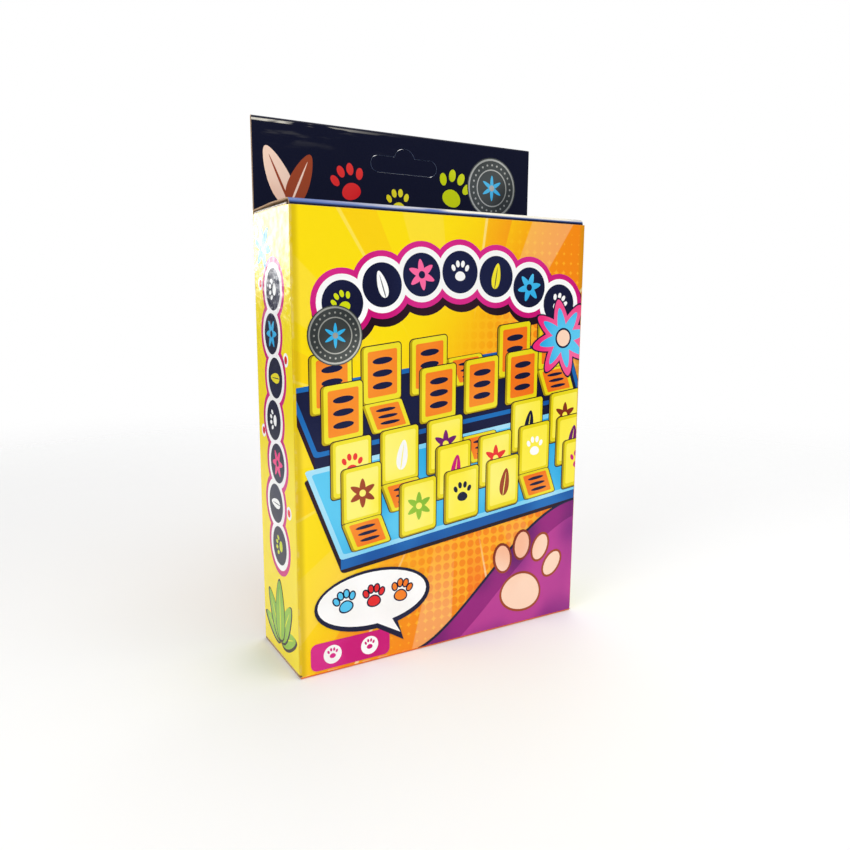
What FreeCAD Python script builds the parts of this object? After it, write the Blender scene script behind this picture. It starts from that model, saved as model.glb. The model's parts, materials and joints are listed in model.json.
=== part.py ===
import FreeCAD, Part
import math
import os

# Hang-tab carton of a guessing game for two players, with the game packed inside it:
# two trays of flip-up card frames, a deck of cards and a folded sheet of rules.
# Millimetres. X runs to the right, Y away from the viewer and Z up, and the origin
# lies under the middle of the carton.

# Flip frame and the card that slides into it
FRAME_WIDTH = 21.0
FRAME_HEIGHT = 24.5
FRAME_STOCK = 2.4
FRAME_SIDE_RAIL = 1.2
FRAME_LIP = 1.2
FRAME_TOP_BORDER = 2.4
FRAME_FOOT = 2.6
FRAME_CORNER_CUT = 1.0
HEEL_FLAT = 0.84
CROSSBAR_WIDTH = 1.8
CROSSBAR_COUNT = 2
NOTCH_WIDTH = 8.0
NOTCH_FLOOR_WIDTH = 5.0
NOTCH_DEPTH = 1.7
CARD_STOCK = 0.36
CARD_CLEARANCE = 0.12
CARD_TOP_INSET = 0.7

# Hinge of a frame: a pin at each side snaps into an ear that the next frame shares
PIN_RADIUS = 0.8
PIN_SIDES = 6
PIN_REACH = 1.6
PIN_CLEARANCE = 0.08
EAR_GAP = 0.3
EAR_CORE = 1.7
EAR_HALF_LENGTH = 1.9
EAR_FRONT_FOOT = 2.2
EAR_GUSSET_FOOT = 3.4
EAR_RISE = 1.5
SNAP_LIP = 0.2
SNAP_HEIGHT = 0.45

# Moulded tray
ROWS = 4
COLUMNS = 5
ROW_GAP = 2.4
PLAYER_MARGIN = 10.1
FAR_MARGIN = 2.6
END_MARGIN = 8.0
TRAY_RIM = 1.5
TRAY_UNDERSIDE = 2.0
TRAY_DECK = 1.4
TRAY_CORNER_RADIUS = 4.0
FRAME_LIFT = 0.2
RIM_COVER = 0.6
RIB_THICKNESS = 1.2

# Score slider, captive in a slot of the tray, and the holder for a drawn card
SCORE_SLOT_LENGTH = 52.0
SCORE_SLOT_WIDTH = 2.4
SCORE_SLOT_START = 14.0
SLIDER_CLEARANCE = 0.1
KNOB_RADIUS = 3.2
KNOB_SIDES = 12
KNOB_HEIGHT = 2.3
KNOB_EDGE = 1.2
KNOB_CROWN_RADIUS = 1.9
STEM_LENGTH = 4.0
FOOT_LENGTH = 5.2
FOOT_WIDTH = 4.4
FOOT_THICKNESS = 0.9
HOLDER_START = 92.0
HOLDER_LENGTH = 20.0
HOLDER_RIB = 1.2
HOLDER_HEIGHT = 2.8

# Deck of cards and folded leaflet, stored beside the trays
DECK_COUNT = 20
DECK_AIR = 0.02
LEAFLET_STOCK = 0.15
LEAFLET_FOLD_RADIUS = 0.3
LEAFLET_PANELS = 3
LEAFLET_WIDTH = 35.0
LEAFLET_HEIGHT = 128.0
STORE_GAP = 0.5

# Paperboard carton
BOARD_STOCK = 0.5
CREASE_RADIUS = 0.9
SIDE_CLEARANCE = 0.4
FRONT_CLEARANCE = 0.3
SEAT_GAP = 0.1
FLIP_CLEARANCE = 2.9
HEADROOM = 23.6
SEAM_SETBACK = 0.4
GLUE_FLAP_WIDTH = 14.0
GLUE_FLAP_SETBACK = 19.0

# Header with its die-cut hang slot
HEADER_HEIGHT = 37.4
HEADER_PLY_GAP = 0.3
SLOT_WIDTH = 32.5
SLOT_HEIGHT = 7.0
SLOT_BASE = 20.8
BUMP_RADIUS = 5.2
BUMP_LIFT = 0.3
SLOT_KERF = 0.25

# Closures at the top and the bottom of the carton
LID_INSET = 0.4
LID_HINGE_GAP = 0.1
LID_HINGE_RISE = 2.0
LID_RISE = 2.6
LID_CROWN = 0.4
LID_CROWN_RADIUS = 40.0
LID_FOLD_RADIUS = 2.2
BOTTOM_FOLD_RADIUS = 1.0
CREASE_LAND = 0.3
TUCK_LENGTH = 15.0
TUCK_CLEARANCE = 0.8
TUCK_SIDE_INSET = 2.5
TUCK_CORNER_RADIUS = 8.0
TUCK_TRAY_GAP = 0.6
DUST_LENGTH = 22.0
DUST_CLEARANCE = 0.3
DUST_FRONT_GAP = 3.4
DUST_FRONT_TAPER = 4.7
DUST_REAR_GAP = 1.5
DUST_REAR_TAPER = 18.5
DUST_CORNER_RADIUS = 3.0

# Reach of a cutting tool past the face that it opens, and the shortest edge worth drawing
OVERRUN = 1.0
SHORTEST_EDGE = 1e-6

# Sizes that follow for the frame and its card
POCKET_STOCK = CARD_STOCK + 2 * CARD_CLEARANCE
POCKET_WIDTH = FRAME_WIDTH - 2 * FRAME_SIDE_RAIL
WINDOW_WIDTH = POCKET_WIDTH - 2 * FRAME_LIP
WINDOW_START = FRAME_FOOT + FRAME_LIP
WINDOW_LENGTH = FRAME_HEIGHT - FRAME_TOP_BORDER - WINDOW_START
CARD_WIDTH = POCKET_WIDTH - 2 * CARD_CLEARANCE
CARD_START = FRAME_FOOT + CARD_CLEARANCE
CARD_HEIGHT = FRAME_HEIGHT - CARD_TOP_INSET - CARD_START

# Sizes that follow for the tray
ROW_PITCH = FRAME_HEIGHT + ROW_GAP
EAR_THICKNESS = 2 * PIN_REACH + EAR_CORE
COLUMN_PITCH = FRAME_WIDTH + 2 * EAR_GAP + EAR_THICKNESS
TRAY_LENGTH = 2 * TRAY_RIM + 2 * END_MARGIN + COLUMNS * COLUMN_PITCH
TRAY_WIDTH = 2 * TRAY_RIM + PLAYER_MARGIN + ROWS * ROW_PITCH + FAR_MARGIN
DECK_TOP = TRAY_UNDERSIDE + TRAY_DECK
AXIS_ABOVE_DECK = FRAME_LIFT + FRAME_STOCK / 2
AXIS_HEIGHT = DECK_TOP + AXIS_ABOVE_DECK
TRAY_THICKNESS = DECK_TOP + FRAME_LIFT + FRAME_STOCK + RIM_COVER
SCORE_LINE = TRAY_RIM + PLAYER_MARGIN / 2
STEM_WIDTH = SCORE_SLOT_WIDTH - 2 * SLIDER_CLEARANCE
SCORE_TRAVEL = SCORE_SLOT_LENGTH - STEM_LENGTH - 2 * SLIDER_CLEARANCE

# Sizes that follow for the carton round its contents
DECK_THICKNESS = DECK_COUNT * CARD_STOCK + (DECK_COUNT - 1) * DECK_AIR
LEAFLET_STEP = 2 * LEAFLET_FOLD_RADIUS - LEAFLET_STOCK
LEAFLET_THICKNESS = (LEAFLET_PANELS - 1) * LEAFLET_STEP + LEAFLET_STOCK
STORE_WIDTH = DECK_THICKNESS + LEAFLET_THICKNESS + 3 * STORE_GAP
TUCK_STACK = TUCK_CLEARANCE + BOARD_STOCK + TUCK_TRAY_GAP
DUST_FLOOR = BOARD_STOCK + DUST_CLEARANCE
CONTENT_BASE = DUST_FLOOR + BOARD_STOCK + SEAT_GAP
FLIP_ROOM = AXIS_HEIGHT + FRAME_HEIGHT + FLIP_CLEARANCE - TRAY_THICKNESS
CARTON_WIDTH = 2 * BOARD_STOCK + SIDE_CLEARANCE + TRAY_WIDTH + STORE_WIDTH
CARTON_DEPTH = 2 * BOARD_STOCK + FRONT_CLEARANCE + 2 * TRAY_THICKNESS + FLIP_ROOM + TUCK_STACK
CARTON_HEIGHT = CONTENT_BASE + TRAY_LENGTH + HEADROOM
HALF_WIDTH = CARTON_WIDTH / 2
HALF_DEPTH = CARTON_DEPTH / 2
HEADER_THICKNESS = 2 * BOARD_STOCK + HEADER_PLY_GAP
HEADER_FACE = HALF_DEPTH - HEADER_THICKNESS
HEADER_TOP = CARTON_HEIGHT + HEADER_HEIGHT
SLOT_MIDDLE = CARTON_HEIGHT + SLOT_BASE + SLOT_HEIGHT / 2

# Creases that the closures turn on
LID_HINGE_Y = HEADER_FACE - LID_HINGE_GAP
LID_HINGE_Z = CARTON_HEIGHT + LID_HINGE_RISE
LID_TUCK_FACE = -HALF_DEPTH + BOARD_STOCK + TUCK_CLEARANCE
LID_TUCK_Y = LID_TUCK_FACE + BOARD_STOCK
LID_TUCK_Z = CARTON_HEIGHT + LID_RISE - LID_FOLD_RADIUS - CREASE_LAND
DUST_TOP = LID_HINGE_Z - BOARD_STOCK - DUST_CLEARANCE
TOP_DUST_HINGE_Z = DUST_TOP - CREASE_RADIUS
BOTTOM_DUST_HINGE_Z = DUST_FLOOR + CREASE_RADIUS
BOTTOM_TUCK_FACE = HALF_DEPTH - BOARD_STOCK - TUCK_CLEARANCE
BOTTOM_TUCK_Y = BOTTOM_TUCK_FACE - BOARD_STOCK
BOTTOM_TUCK_Z = BOTTOM_FOLD_RADIUS + CREASE_LAND

# Where the trays stand: the blue one at the front, the navy one facing it from the back
TRAY_LEFT = -HALF_WIDTH + BOARD_STOCK + SIDE_CLEARANCE
TRAY_RIGHT = TRAY_LEFT + TRAY_WIDTH
BLUE_TRAY_BACK = -HALF_DEPTH + BOARD_STOCK + FRONT_CLEARANCE
NAVY_TRAY_BACK = BOTTOM_TUCK_Y - TUCK_TRAY_GAP
TRAY_PLACES = {
    "blue": FreeCAD.Matrix(0, 1, 0, TRAY_LEFT, 0, 0, 1, BLUE_TRAY_BACK, 1, 0, 0, CONTENT_BASE),
    "navy": FreeCAD.Matrix(0, -1, 0, TRAY_RIGHT, 0, 0, -1, NAVY_TRAY_BACK, 1, 0, 0, CONTENT_BASE),
}

ORIGIN = FreeCAD.Vector(0, 0, 0)
ALONG_X = FreeCAD.Vector(1, 0, 0)
ALONG_Y = FreeCAD.Vector(0, 1, 0)
ALONG_Z = FreeCAD.Vector(0, 0, 1)


def point(x, y, z):
    return FreeCAD.Vector(x, y, z)


def path_edges(corners, radii, closed=True):
    """Line and arc edges along a flat path; a corner of radius zero stays sharp."""
    last = len(corners) - 1
    bends = []
    for index, (corner, radius) in enumerate(zip(corners, radii)):
        if radius == 0 or (not closed and index in (0, last)):
            bends.append((corner, None, corner))
            continue
        back = (corners[index - 1] - corner).normalize()
        ahead = (corners[(index + 1) % len(corners)] - corner).normalize()
        half_angle = back.getAngle(ahead) / 2
        reach = radius / math.tan(half_angle)
        depth = radius / math.sin(half_angle) - radius
        middle = corner + (back + ahead).normalize() * depth
        bends.append((corner + back * reach, middle, corner + ahead * reach))
    edges = []
    for index, (entry, middle, leave) in enumerate(bends):
        if middle:
            edges.append(Part.Arc(entry, middle, leave).toShape())
        target = bends[(index + 1) % len(bends)][0]
        if (index < last or closed) and (target - leave).Length > SHORTEST_EDGE:
            edges.append(Part.LineSegment(leave, target).toShape())
    return edges


def plate(corners, radii, run):
    """Flat piece with rounded corners, drawn out along run."""
    return Part.Face(Part.Wire(path_edges(corners, radii))).extrude(run)


def folded_sheet(corners, radii, stock, run):
    """Sheet bent along an open path on its outer face; the stock lies to the path's left."""
    normal = FreeCAD.Vector(run).normalize()
    lefts = [normal.cross(b - a).normalize() for a, b in zip(corners, corners[1:])]
    inner = []
    inner_radii = []
    for index, (corner, radius) in enumerate(zip(corners, radii)):
        before = lefts[max(index - 1, 0)]
        after = lefts[min(index, len(lefts) - 1)]
        inner.append(corner + (before + after) * (stock / (1 + before.dot(after))))
        turns_left = before.cross(after).dot(normal) > 0
        inner_radii.append(radius - stock if turns_left else radius + stock)
    edges = path_edges(corners, radii, closed=False)
    edges.append(Part.LineSegment(corners[-1], inner[-1]).toShape())
    edges += path_edges(inner[::-1], inner_radii[::-1], closed=False)
    edges.append(Part.LineSegment(inner[0], corners[0]).toShape())
    return Part.Face(Part.Wire(edges)).extrude(run)


def ring(radius, sides, middle, across, upward):
    """Corners of a regular polygon round its middle, in the plane of two unit vectors."""
    corners = []
    for side in range(sides):
        angle = 2 * math.pi * (side + 0.5) / sides
        corners.append(middle + across * (radius * math.cos(angle)) + upward * (radius * math.sin(angle)))
    return corners


def block(low, high):
    """Box between two opposite corners."""
    size = high - low
    return Part.makeBox(size.x, size.y, size.z, low)


def slab(length, width, height, radius, corner):
    """Upright-edged plate with four round corners, from its low corner."""
    outline = [
        corner,
        corner + ALONG_X * length,
        corner + ALONG_X * length + ALONG_Y * width,
        corner + ALONG_Y * width,
    ]
    return plate(outline, [radius] * len(outline), ALONG_Z * height)


def slot_prism(inset):
    """Hang slot with round ends and a raised middle, drawn through the header's two plies."""
    half_length = SLOT_WIDTH / 2 - inset
    end_radius = SLOT_HEIGHT / 2 - inset
    run = ALONG_Y * HEADER_THICKNESS
    outline = [
        point(-half_length, HEADER_FACE, SLOT_MIDDLE - end_radius),
        point(half_length, HEADER_FACE, SLOT_MIDDLE - end_radius),
        point(half_length, HEADER_FACE, SLOT_MIDDLE + end_radius),
        point(-half_length, HEADER_FACE, SLOT_MIDDLE + end_radius),
    ]
    body = plate(outline, [end_radius] * len(outline), run)
    bump_middle = CARTON_HEIGHT + SLOT_BASE + BUMP_RADIUS + BUMP_LIFT
    bump = Part.makeCylinder(
        BUMP_RADIUS - inset, HEADER_THICKNESS, point(0, HEADER_FACE, bump_middle), ALONG_Y)
    return body.fuse(bump).removeSplitter()


def header():
    """Back panel's extension, folded over at the top into a second ply that ends at the lid."""
    left = -HALF_WIDTH + SEAM_SETBACK
    path = [
        point(left, HALF_DEPTH, CARTON_HEIGHT),
        point(left, HALF_DEPTH, HEADER_TOP),
        point(left, HEADER_FACE, HEADER_TOP),
        point(left, HEADER_FACE, LID_HINGE_Z - BOARD_STOCK),
    ]
    fold = HEADER_THICKNESS / 2
    sheet = folded_sheet(path, [0, fold, fold, 0], BOARD_STOCK, ALONG_X * (-2 * left))
    return sheet.cut(slot_prism(inset=0))


def carton_sleeve():
    """Four panels folded round from the glue flap, the back panel glued over it, and the header."""
    flap_end = -HALF_WIDTH + GLUE_FLAP_WIDTH
    back_start = HALF_WIDTH - CREASE_RADIUS
    seam = HALF_DEPTH - BOARD_STOCK
    wrap = [
        point(flap_end, seam, 0),
        point(-HALF_WIDTH, seam, 0),
        point(-HALF_WIDTH, -HALF_DEPTH, 0),
        point(HALF_WIDTH, -HALF_DEPTH, 0),
        point(HALF_WIDTH, HALF_DEPTH, 0),
        point(back_start, HALF_DEPTH, 0),
    ]
    radii = [0] + [CREASE_RADIUS] * (len(wrap) - 2) + [0]
    panels = folded_sheet(wrap, radii, BOARD_STOCK, ALONG_Z * CARTON_HEIGHT)
    back = block(point(-HALF_WIDTH + SEAM_SETBACK, seam, 0), point(back_start, HALF_DEPTH, CARTON_HEIGHT))
    side_front = -HALF_DEPTH + CREASE_RADIUS
    cuts = [block(point(-back_start, -HALF_DEPTH - OVERRUN, -OVERRUN),
                  point(back_start, side_front, CREASE_RADIUS))]
    outside = HALF_WIDTH + OVERRUN
    for low_x, high_x in ((-outside, -back_start), (back_start, outside)):
        cuts.append(block(point(low_x, -HALF_DEPTH - OVERRUN, -OVERRUN),
                          point(high_x, seam, BOTTOM_DUST_HINGE_Z)))
        cuts.append(block(point(low_x, side_front, TOP_DUST_HINGE_Z),
                          point(high_x, seam, CARTON_HEIGHT + OVERRUN)))
    flap_side = -back_start
    for low_z, high_z in ((-OVERRUN, GLUE_FLAP_SETBACK),
                          (CARTON_HEIGHT - GLUE_FLAP_SETBACK, CARTON_HEIGHT + OVERRUN)):
        cuts.append(block(point(flap_side, seam - BOARD_STOCK, low_z),
                          point(flap_end + OVERRUN, seam, high_z)))
    return panels.cut(cuts).fuse([back, header()]).removeSplitter()


def lid_panel():
    """Crowned lid from the header's foot to its rounded front fold."""
    left = -HALF_WIDTH + LID_INSET
    fold_top = CARTON_HEIGHT + LID_RISE
    middle_z = (LID_HINGE_Z + fold_top) / 2 + LID_CROWN
    path = [
        point(left, LID_HINGE_Y, LID_HINGE_Z),
        point(left, (LID_HINGE_Y + LID_TUCK_FACE) / 2, middle_z),
        point(left, LID_TUCK_FACE, fold_top),
        point(left, LID_TUCK_FACE, LID_TUCK_Z),
    ]
    radii = [0, LID_CROWN_RADIUS, LID_FOLD_RADIUS, 0]
    return folded_sheet(path, radii, BOARD_STOCK, ALONG_X * (-2 * left))


def tuck_flap(face_y, crease_z, tip_z):
    """Flap with two round corners at its tip, from its crease."""
    half = HALF_WIDTH - TUCK_SIDE_INSET
    outline = [
        point(-half, face_y, crease_z),
        point(half, face_y, crease_z),
        point(half, face_y, tip_z),
        point(-half, face_y, tip_z),
    ]
    return plate(outline, [0, 0, TUCK_CORNER_RADIUS, TUCK_CORNER_RADIUS], ALONG_Y * BOARD_STOCK)


def dust_flap_left():
    """Side panel's flap under the lid, cut back at its rear so that the lid clears it."""
    front = -HALF_DEPTH + DUST_FRONT_GAP
    rear = LID_HINGE_Y - DUST_REAR_GAP
    tip_x = -HALF_WIDTH + DUST_LENGTH
    path = [
        point(-HALF_WIDTH, front, TOP_DUST_HINGE_Z),
        point(-HALF_WIDTH, front, DUST_TOP),
        point(tip_x, front, DUST_TOP),
    ]
    sheet = folded_sheet(path, [0, CREASE_RADIUS, 0], BOARD_STOCK, ALONG_Y * (rear - front))
    outline = [
        point(-HALF_WIDTH, front, TOP_DUST_HINGE_Z),
        point(tip_x, front + DUST_FRONT_TAPER, TOP_DUST_HINGE_Z),
        point(tip_x, rear - DUST_REAR_TAPER, TOP_DUST_HINGE_Z),
        point(-HALF_WIDTH, rear, TOP_DUST_HINGE_Z),
    ]
    radii = [0, DUST_CORNER_RADIUS, DUST_CORNER_RADIUS, 0]
    return sheet.common(plate(outline, radii, ALONG_Z * CREASE_RADIUS))


def bottom_panel():
    """Floor of the carton, from the front panel's foot to the fold of its tuck flap."""
    left = -HALF_WIDTH + LID_INSET
    path = [
        point(left, -HALF_DEPTH, CREASE_RADIUS),
        point(left, -HALF_DEPTH, 0),
        point(left, BOTTOM_TUCK_FACE, 0),
        point(left, BOTTOM_TUCK_FACE, BOTTOM_TUCK_Z),
    ]
    radii = [0, CREASE_RADIUS, BOTTOM_FOLD_RADIUS, 0]
    return folded_sheet(path, radii, BOARD_STOCK, ALONG_X * (-2 * left))


def bottom_dust_flap(top_flap):
    """The same flap turned end over end for the bottom."""
    flap = top_flap.copy()
    flap.rotate(ORIGIN, ALONG_X, 180)
    flap.translate(ALONG_Z * (DUST_TOP + DUST_FLOOR))
    return flap


def flip_frame():
    """Frame lying flat on its face: its pin axis is the X axis, its tip points to -Y."""
    half = FRAME_WIDTH / 2
    back = -FRAME_STOCK / 2
    outline = [
        point(half, 0, back),
        point(-half, 0, back),
        point(-half, FRAME_CORNER_CUT - FRAME_HEIGHT, back),
        point(FRAME_CORNER_CUT - half, -FRAME_HEIGHT, back),
        point(-NOTCH_WIDTH / 2, -FRAME_HEIGHT, back),
        point(-NOTCH_FLOOR_WIDTH / 2, NOTCH_DEPTH - FRAME_HEIGHT, back),
        point(NOTCH_FLOOR_WIDTH / 2, NOTCH_DEPTH - FRAME_HEIGHT, back),
        point(NOTCH_WIDTH / 2, -FRAME_HEIGHT, back),
        point(half - FRAME_CORNER_CUT, -FRAME_HEIGHT, back),
        point(half, FRAME_CORNER_CUT - FRAME_HEIGHT, back),
    ]
    body = plate(outline, [0] * len(outline), ALONG_Z * FRAME_STOCK)
    heel_outline = [
        point(-half, 0, back),
        point(-half, HEEL_FLAT, -HEEL_FLAT),
        point(-half, HEEL_FLAT, HEEL_FLAT),
        point(-half, 0, -back),
    ]
    heel = plate(heel_outline, [0] * len(heel_outline), ALONG_X * FRAME_WIDTH)
    reach = half + EAR_GAP + PIN_REACH
    pin_rim = ring(PIN_RADIUS, PIN_SIDES, point(-reach, 0, 0), ALONG_Y, ALONG_Z)
    pins = plate(pin_rim, [0] * PIN_SIDES, ALONG_X * (2 * reach))
    pocket = block(point(-POCKET_WIDTH / 2, -FRAME_HEIGHT - OVERRUN, -POCKET_STOCK / 2),
                   point(POCKET_WIDTH / 2, -FRAME_FOOT, POCKET_STOCK / 2))
    window_end = -WINDOW_START - WINDOW_LENGTH
    window = block(point(-WINDOW_WIDTH / 2, window_end, back - OVERRUN),
                   point(WINDOW_WIDTH / 2, -WINDOW_START, 0))
    openings = CROSSBAR_COUNT + 1
    opening_length = (WINDOW_LENGTH - CROSSBAR_COUNT * CROSSBAR_WIDTH) / openings
    cuts = [pocket, window]
    for index in range(openings):
        low_y = window_end + index * (opening_length + CROSSBAR_WIDTH)
        cuts.append(block(point(-WINDOW_WIDTH / 2, low_y, 0),
                          point(WINDOW_WIDTH / 2, low_y + opening_length, FRAME_STOCK)))
    return body.fuse([heel, pins]).cut(cuts).removeSplitter()


def picture_card():
    """Card in its pocket, in the flip frame's own place."""
    return block(point(-CARD_WIDTH / 2, -CARD_START - CARD_HEIGHT, -CARD_STOCK / 2),
                 point(CARD_WIDTH / 2, -CARD_START, CARD_STOCK / 2))


def frame_axis(row, column):
    """Middle of a frame's pin axis on the tray."""
    along = TRAY_RIM + END_MARGIN + COLUMN_PITCH * (column + 0.5)
    across = TRAY_RIM + PLAYER_MARGIN + ROW_PITCH * (row + 1) - ROW_GAP / 2
    return point(along, across, AXIS_HEIGHT)


def hinge_ear():
    """Ear with a snap-in slot for two pins, gusseted on the far side; their axis is the X axis."""
    start = -EAR_THICKNESS / 2
    slot = PIN_RADIUS + PIN_CLEARANCE
    neck = PIN_RADIUS - SNAP_LIP
    outline = [
        point(start, -EAR_FRONT_FOOT, -AXIS_ABOVE_DECK),
        point(start, -EAR_HALF_LENGTH, EAR_RISE),
        point(start, -neck, EAR_RISE),
        point(start, -slot, SNAP_HEIGHT),
        point(start, -slot, -slot),
        point(start, slot, -slot),
        point(start, slot, SNAP_HEIGHT),
        point(start, neck, EAR_RISE),
        point(start, EAR_HALF_LENGTH, EAR_RISE),
        point(start, EAR_GUSSET_FOOT, -AXIS_ABOVE_DECK),
    ]
    return plate(outline, [0] * len(outline), ALONG_X * EAR_THICKNESS)


def tray():
    """Moulded tray lying flat: X along its length, Y from the player's edge, Z up."""
    inner_length = TRAY_LENGTH - 2 * TRAY_RIM
    inner_width = TRAY_WIDTH - 2 * TRAY_RIM
    inner_radius = TRAY_CORNER_RADIUS - TRAY_RIM
    body = slab(TRAY_LENGTH, TRAY_WIDTH, TRAY_THICKNESS, TRAY_CORNER_RADIUS, ORIGIN)
    well = slab(inner_length, inner_width, TRAY_THICKNESS, inner_radius,
                point(TRAY_RIM, TRAY_RIM, DECK_TOP))
    hollow = slab(inner_length, inner_width, TRAY_UNDERSIDE + OVERRUN, inner_radius,
                  point(TRAY_RIM, TRAY_RIM, -OVERRUN))
    slot_side = SCORE_SLOT_WIDTH / 2
    score_slot = block(point(SCORE_SLOT_START, SCORE_LINE - slot_side, 0),
                       point(SCORE_SLOT_START + SCORE_SLOT_LENGTH, SCORE_LINE + slot_side, TRAY_THICKNESS))
    added = []
    for row in range(1, ROWS):
        line = TRAY_RIM + PLAYER_MARGIN + ROW_PITCH * row
        added.append(block(point(TRAY_RIM, line - RIB_THICKNESS / 2, 0),
                           point(TRAY_LENGTH - TRAY_RIM, line + RIB_THICKNESS / 2, TRAY_UNDERSIDE)))
    slit = POCKET_STOCK / 2
    for near, far in ((-slit - HOLDER_RIB, -slit), (slit, slit + HOLDER_RIB)):
        added.append(block(point(HOLDER_START, SCORE_LINE + near, DECK_TOP),
                           point(HOLDER_START + HOLDER_LENGTH, SCORE_LINE + far, DECK_TOP + HOLDER_HEIGHT)))
    ear = hinge_ear()
    half_pitch = ALONG_X * (COLUMN_PITCH / 2)
    for row in range(ROWS):
        for column in range(COLUMNS + 1):
            added.append(ear.translated(frame_axis(row, column) - half_pitch))
    return body.cut([well, hollow, score_slot]).fuse(added).removeSplitter()


def score_slider():
    """Knob on a flat stem, with a foot under the tray that keeps it in the score slot."""
    middle = point(SCORE_SLOT_START + SLIDER_CLEARANCE + STEM_LENGTH / 2, SCORE_LINE, 0)
    foot_top = TRAY_UNDERSIDE - SLIDER_CLEARANCE
    knob_base = DECK_TOP + SLIDER_CLEARANCE
    levels = (
        (KNOB_RADIUS, knob_base),
        (KNOB_RADIUS, knob_base + KNOB_EDGE),
        (KNOB_CROWN_RADIUS, knob_base + KNOB_HEIGHT),
    )
    rims = []
    for radius, height in levels:
        corners = ring(radius, KNOB_SIDES, point(0, 0, height), ALONG_X, ALONG_Y)
        rims.append(Part.makePolygon(corners + corners[:1]))
    knob = Part.makeLoft(rims, True, True)
    stem = block(point(-STEM_LENGTH / 2, -STEM_WIDTH / 2, foot_top),
                 point(STEM_LENGTH / 2, STEM_WIDTH / 2, knob_base))
    foot = block(point(-FOOT_LENGTH / 2, -FOOT_WIDTH / 2, foot_top - FOOT_THICKNESS),
                 point(FOOT_LENGTH / 2, FOOT_WIDTH / 2, foot_top))
    return knob.fuse([stem, foot]).removeSplitter().translated(middle)


def mystery_card_deck():
    """Cards stood on edge side by side between the trays' edges and the leaflet."""
    low = point(TRAY_RIGHT + STORE_GAP, -CARD_WIDTH / 2, CONTENT_BASE)
    size = point(CARD_STOCK, CARD_WIDTH, CARD_HEIGHT)
    step = ALONG_X * (CARD_STOCK + DECK_AIR)
    return Part.makeCompound([block(low + step * n, low + step * n + size) for n in range(DECK_COUNT)])


def rules_leaflet():
    """Sheet of paper folded to and fro, stood against the right side panel."""
    outer = HALF_WIDTH - BOARD_STOCK - STORE_GAP
    half = LEAFLET_WIDTH / 2
    path = [point(outer, -half, CONTENT_BASE)]
    radii = [0]
    for panel in range(LEAFLET_PANELS - 1):
        side = half if panel % 2 == 0 else -half
        near = outer - panel * LEAFLET_STEP
        far = near - LEAFLET_STEP
        if panel % 2 == 0:
            far -= LEAFLET_STOCK
        else:
            near -= LEAFLET_STOCK
        path += [point(near, side, CONTENT_BASE), point(far, side, CONTENT_BASE)]
        radii += [abs(near - far) / 2] * 2
    end_side = -half if LEAFLET_PANELS % 2 == 0 else half
    path.append(point(path[-1].x, end_side, CONTENT_BASE))
    radii.append(0)
    return folded_sheet(path, radii, LEAFLET_STOCK, ALONG_Z * LEAFLET_HEIGHT)


def make_parts():
    """Every node's shape by name."""
    top_left = dust_flap_left()
    top_right = top_left.mirror(ORIGIN, ALONG_X)
    parts = {
        "carton_sleeve": carton_sleeve(),
        "lid_panel": lid_panel(),
        "lid_tuck_flap": tuck_flap(LID_TUCK_FACE, LID_TUCK_Z, LID_TUCK_Z - TUCK_LENGTH),
        "dust_flap_left": top_left,
        "dust_flap_right": top_right,
        "bottom_panel": bottom_panel(),
        "bottom_tuck_flap": tuck_flap(BOTTOM_TUCK_Y, BOTTOM_TUCK_Z, BOTTOM_TUCK_Z + TUCK_LENGTH),
        "bottom_dust_flap_left": bottom_dust_flap(top_left),
        "bottom_dust_flap_right": bottom_dust_flap(top_right),
        "hang_slot_plug": slot_prism(inset=SLOT_KERF),
        "mystery_card_deck": mystery_card_deck(),
        "rules_leaflet": rules_leaflet(),
    }
    flat_tray = tray()
    slider = score_slider()
    frame_and_card = Part.makeCompound([flip_frame(), picture_card()])
    for colour, place in TRAY_PLACES.items():
        parts["tray_" + colour] = flat_tray.transformed(place, copy=True)
        parts["score_slider_" + colour] = slider.transformed(place, copy=True)
        for row in range(ROWS):
            for column in range(COLUMNS):
                seated = frame_and_card.translated(frame_axis(row, column))
                name = f"frame_{colour}_{row + 1}_{column + 1}"
                parts[name] = seated.transformed(place, copy=True)
    return parts


os.makedirs("parts", exist_ok=True)
for node, shape in make_parts().items():
    shape.exportStep(f"parts/{node}.step")
print(f"carton {CARTON_WIDTH:.1f} x {CARTON_DEPTH:.1f} x {CARTON_HEIGHT:.1f} mm, "
      f"header to {HEADER_TOP:.1f} mm")
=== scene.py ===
# %% [markdown]
# # A guessing game in its hang-tab carton
#
# The carton is a glossy, laminated paperboard box with a navy header that hangs on a shop hook.
# This lesson dresses the CAD frame: the board and its print, the folds and their wear, and the
# trays, frames and cards that wait inside. Lengths are millimetres times `MM`, in the frame's own
# axes: X runs to the right, Y to the back, Z up. Lamps and floor are in metres.

# %% Load the frame
import json
from collections import namedtuple
from math import pi, radians, sin

import bmesh
import bpy
from mathutils import Color, Matrix, Vector


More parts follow.
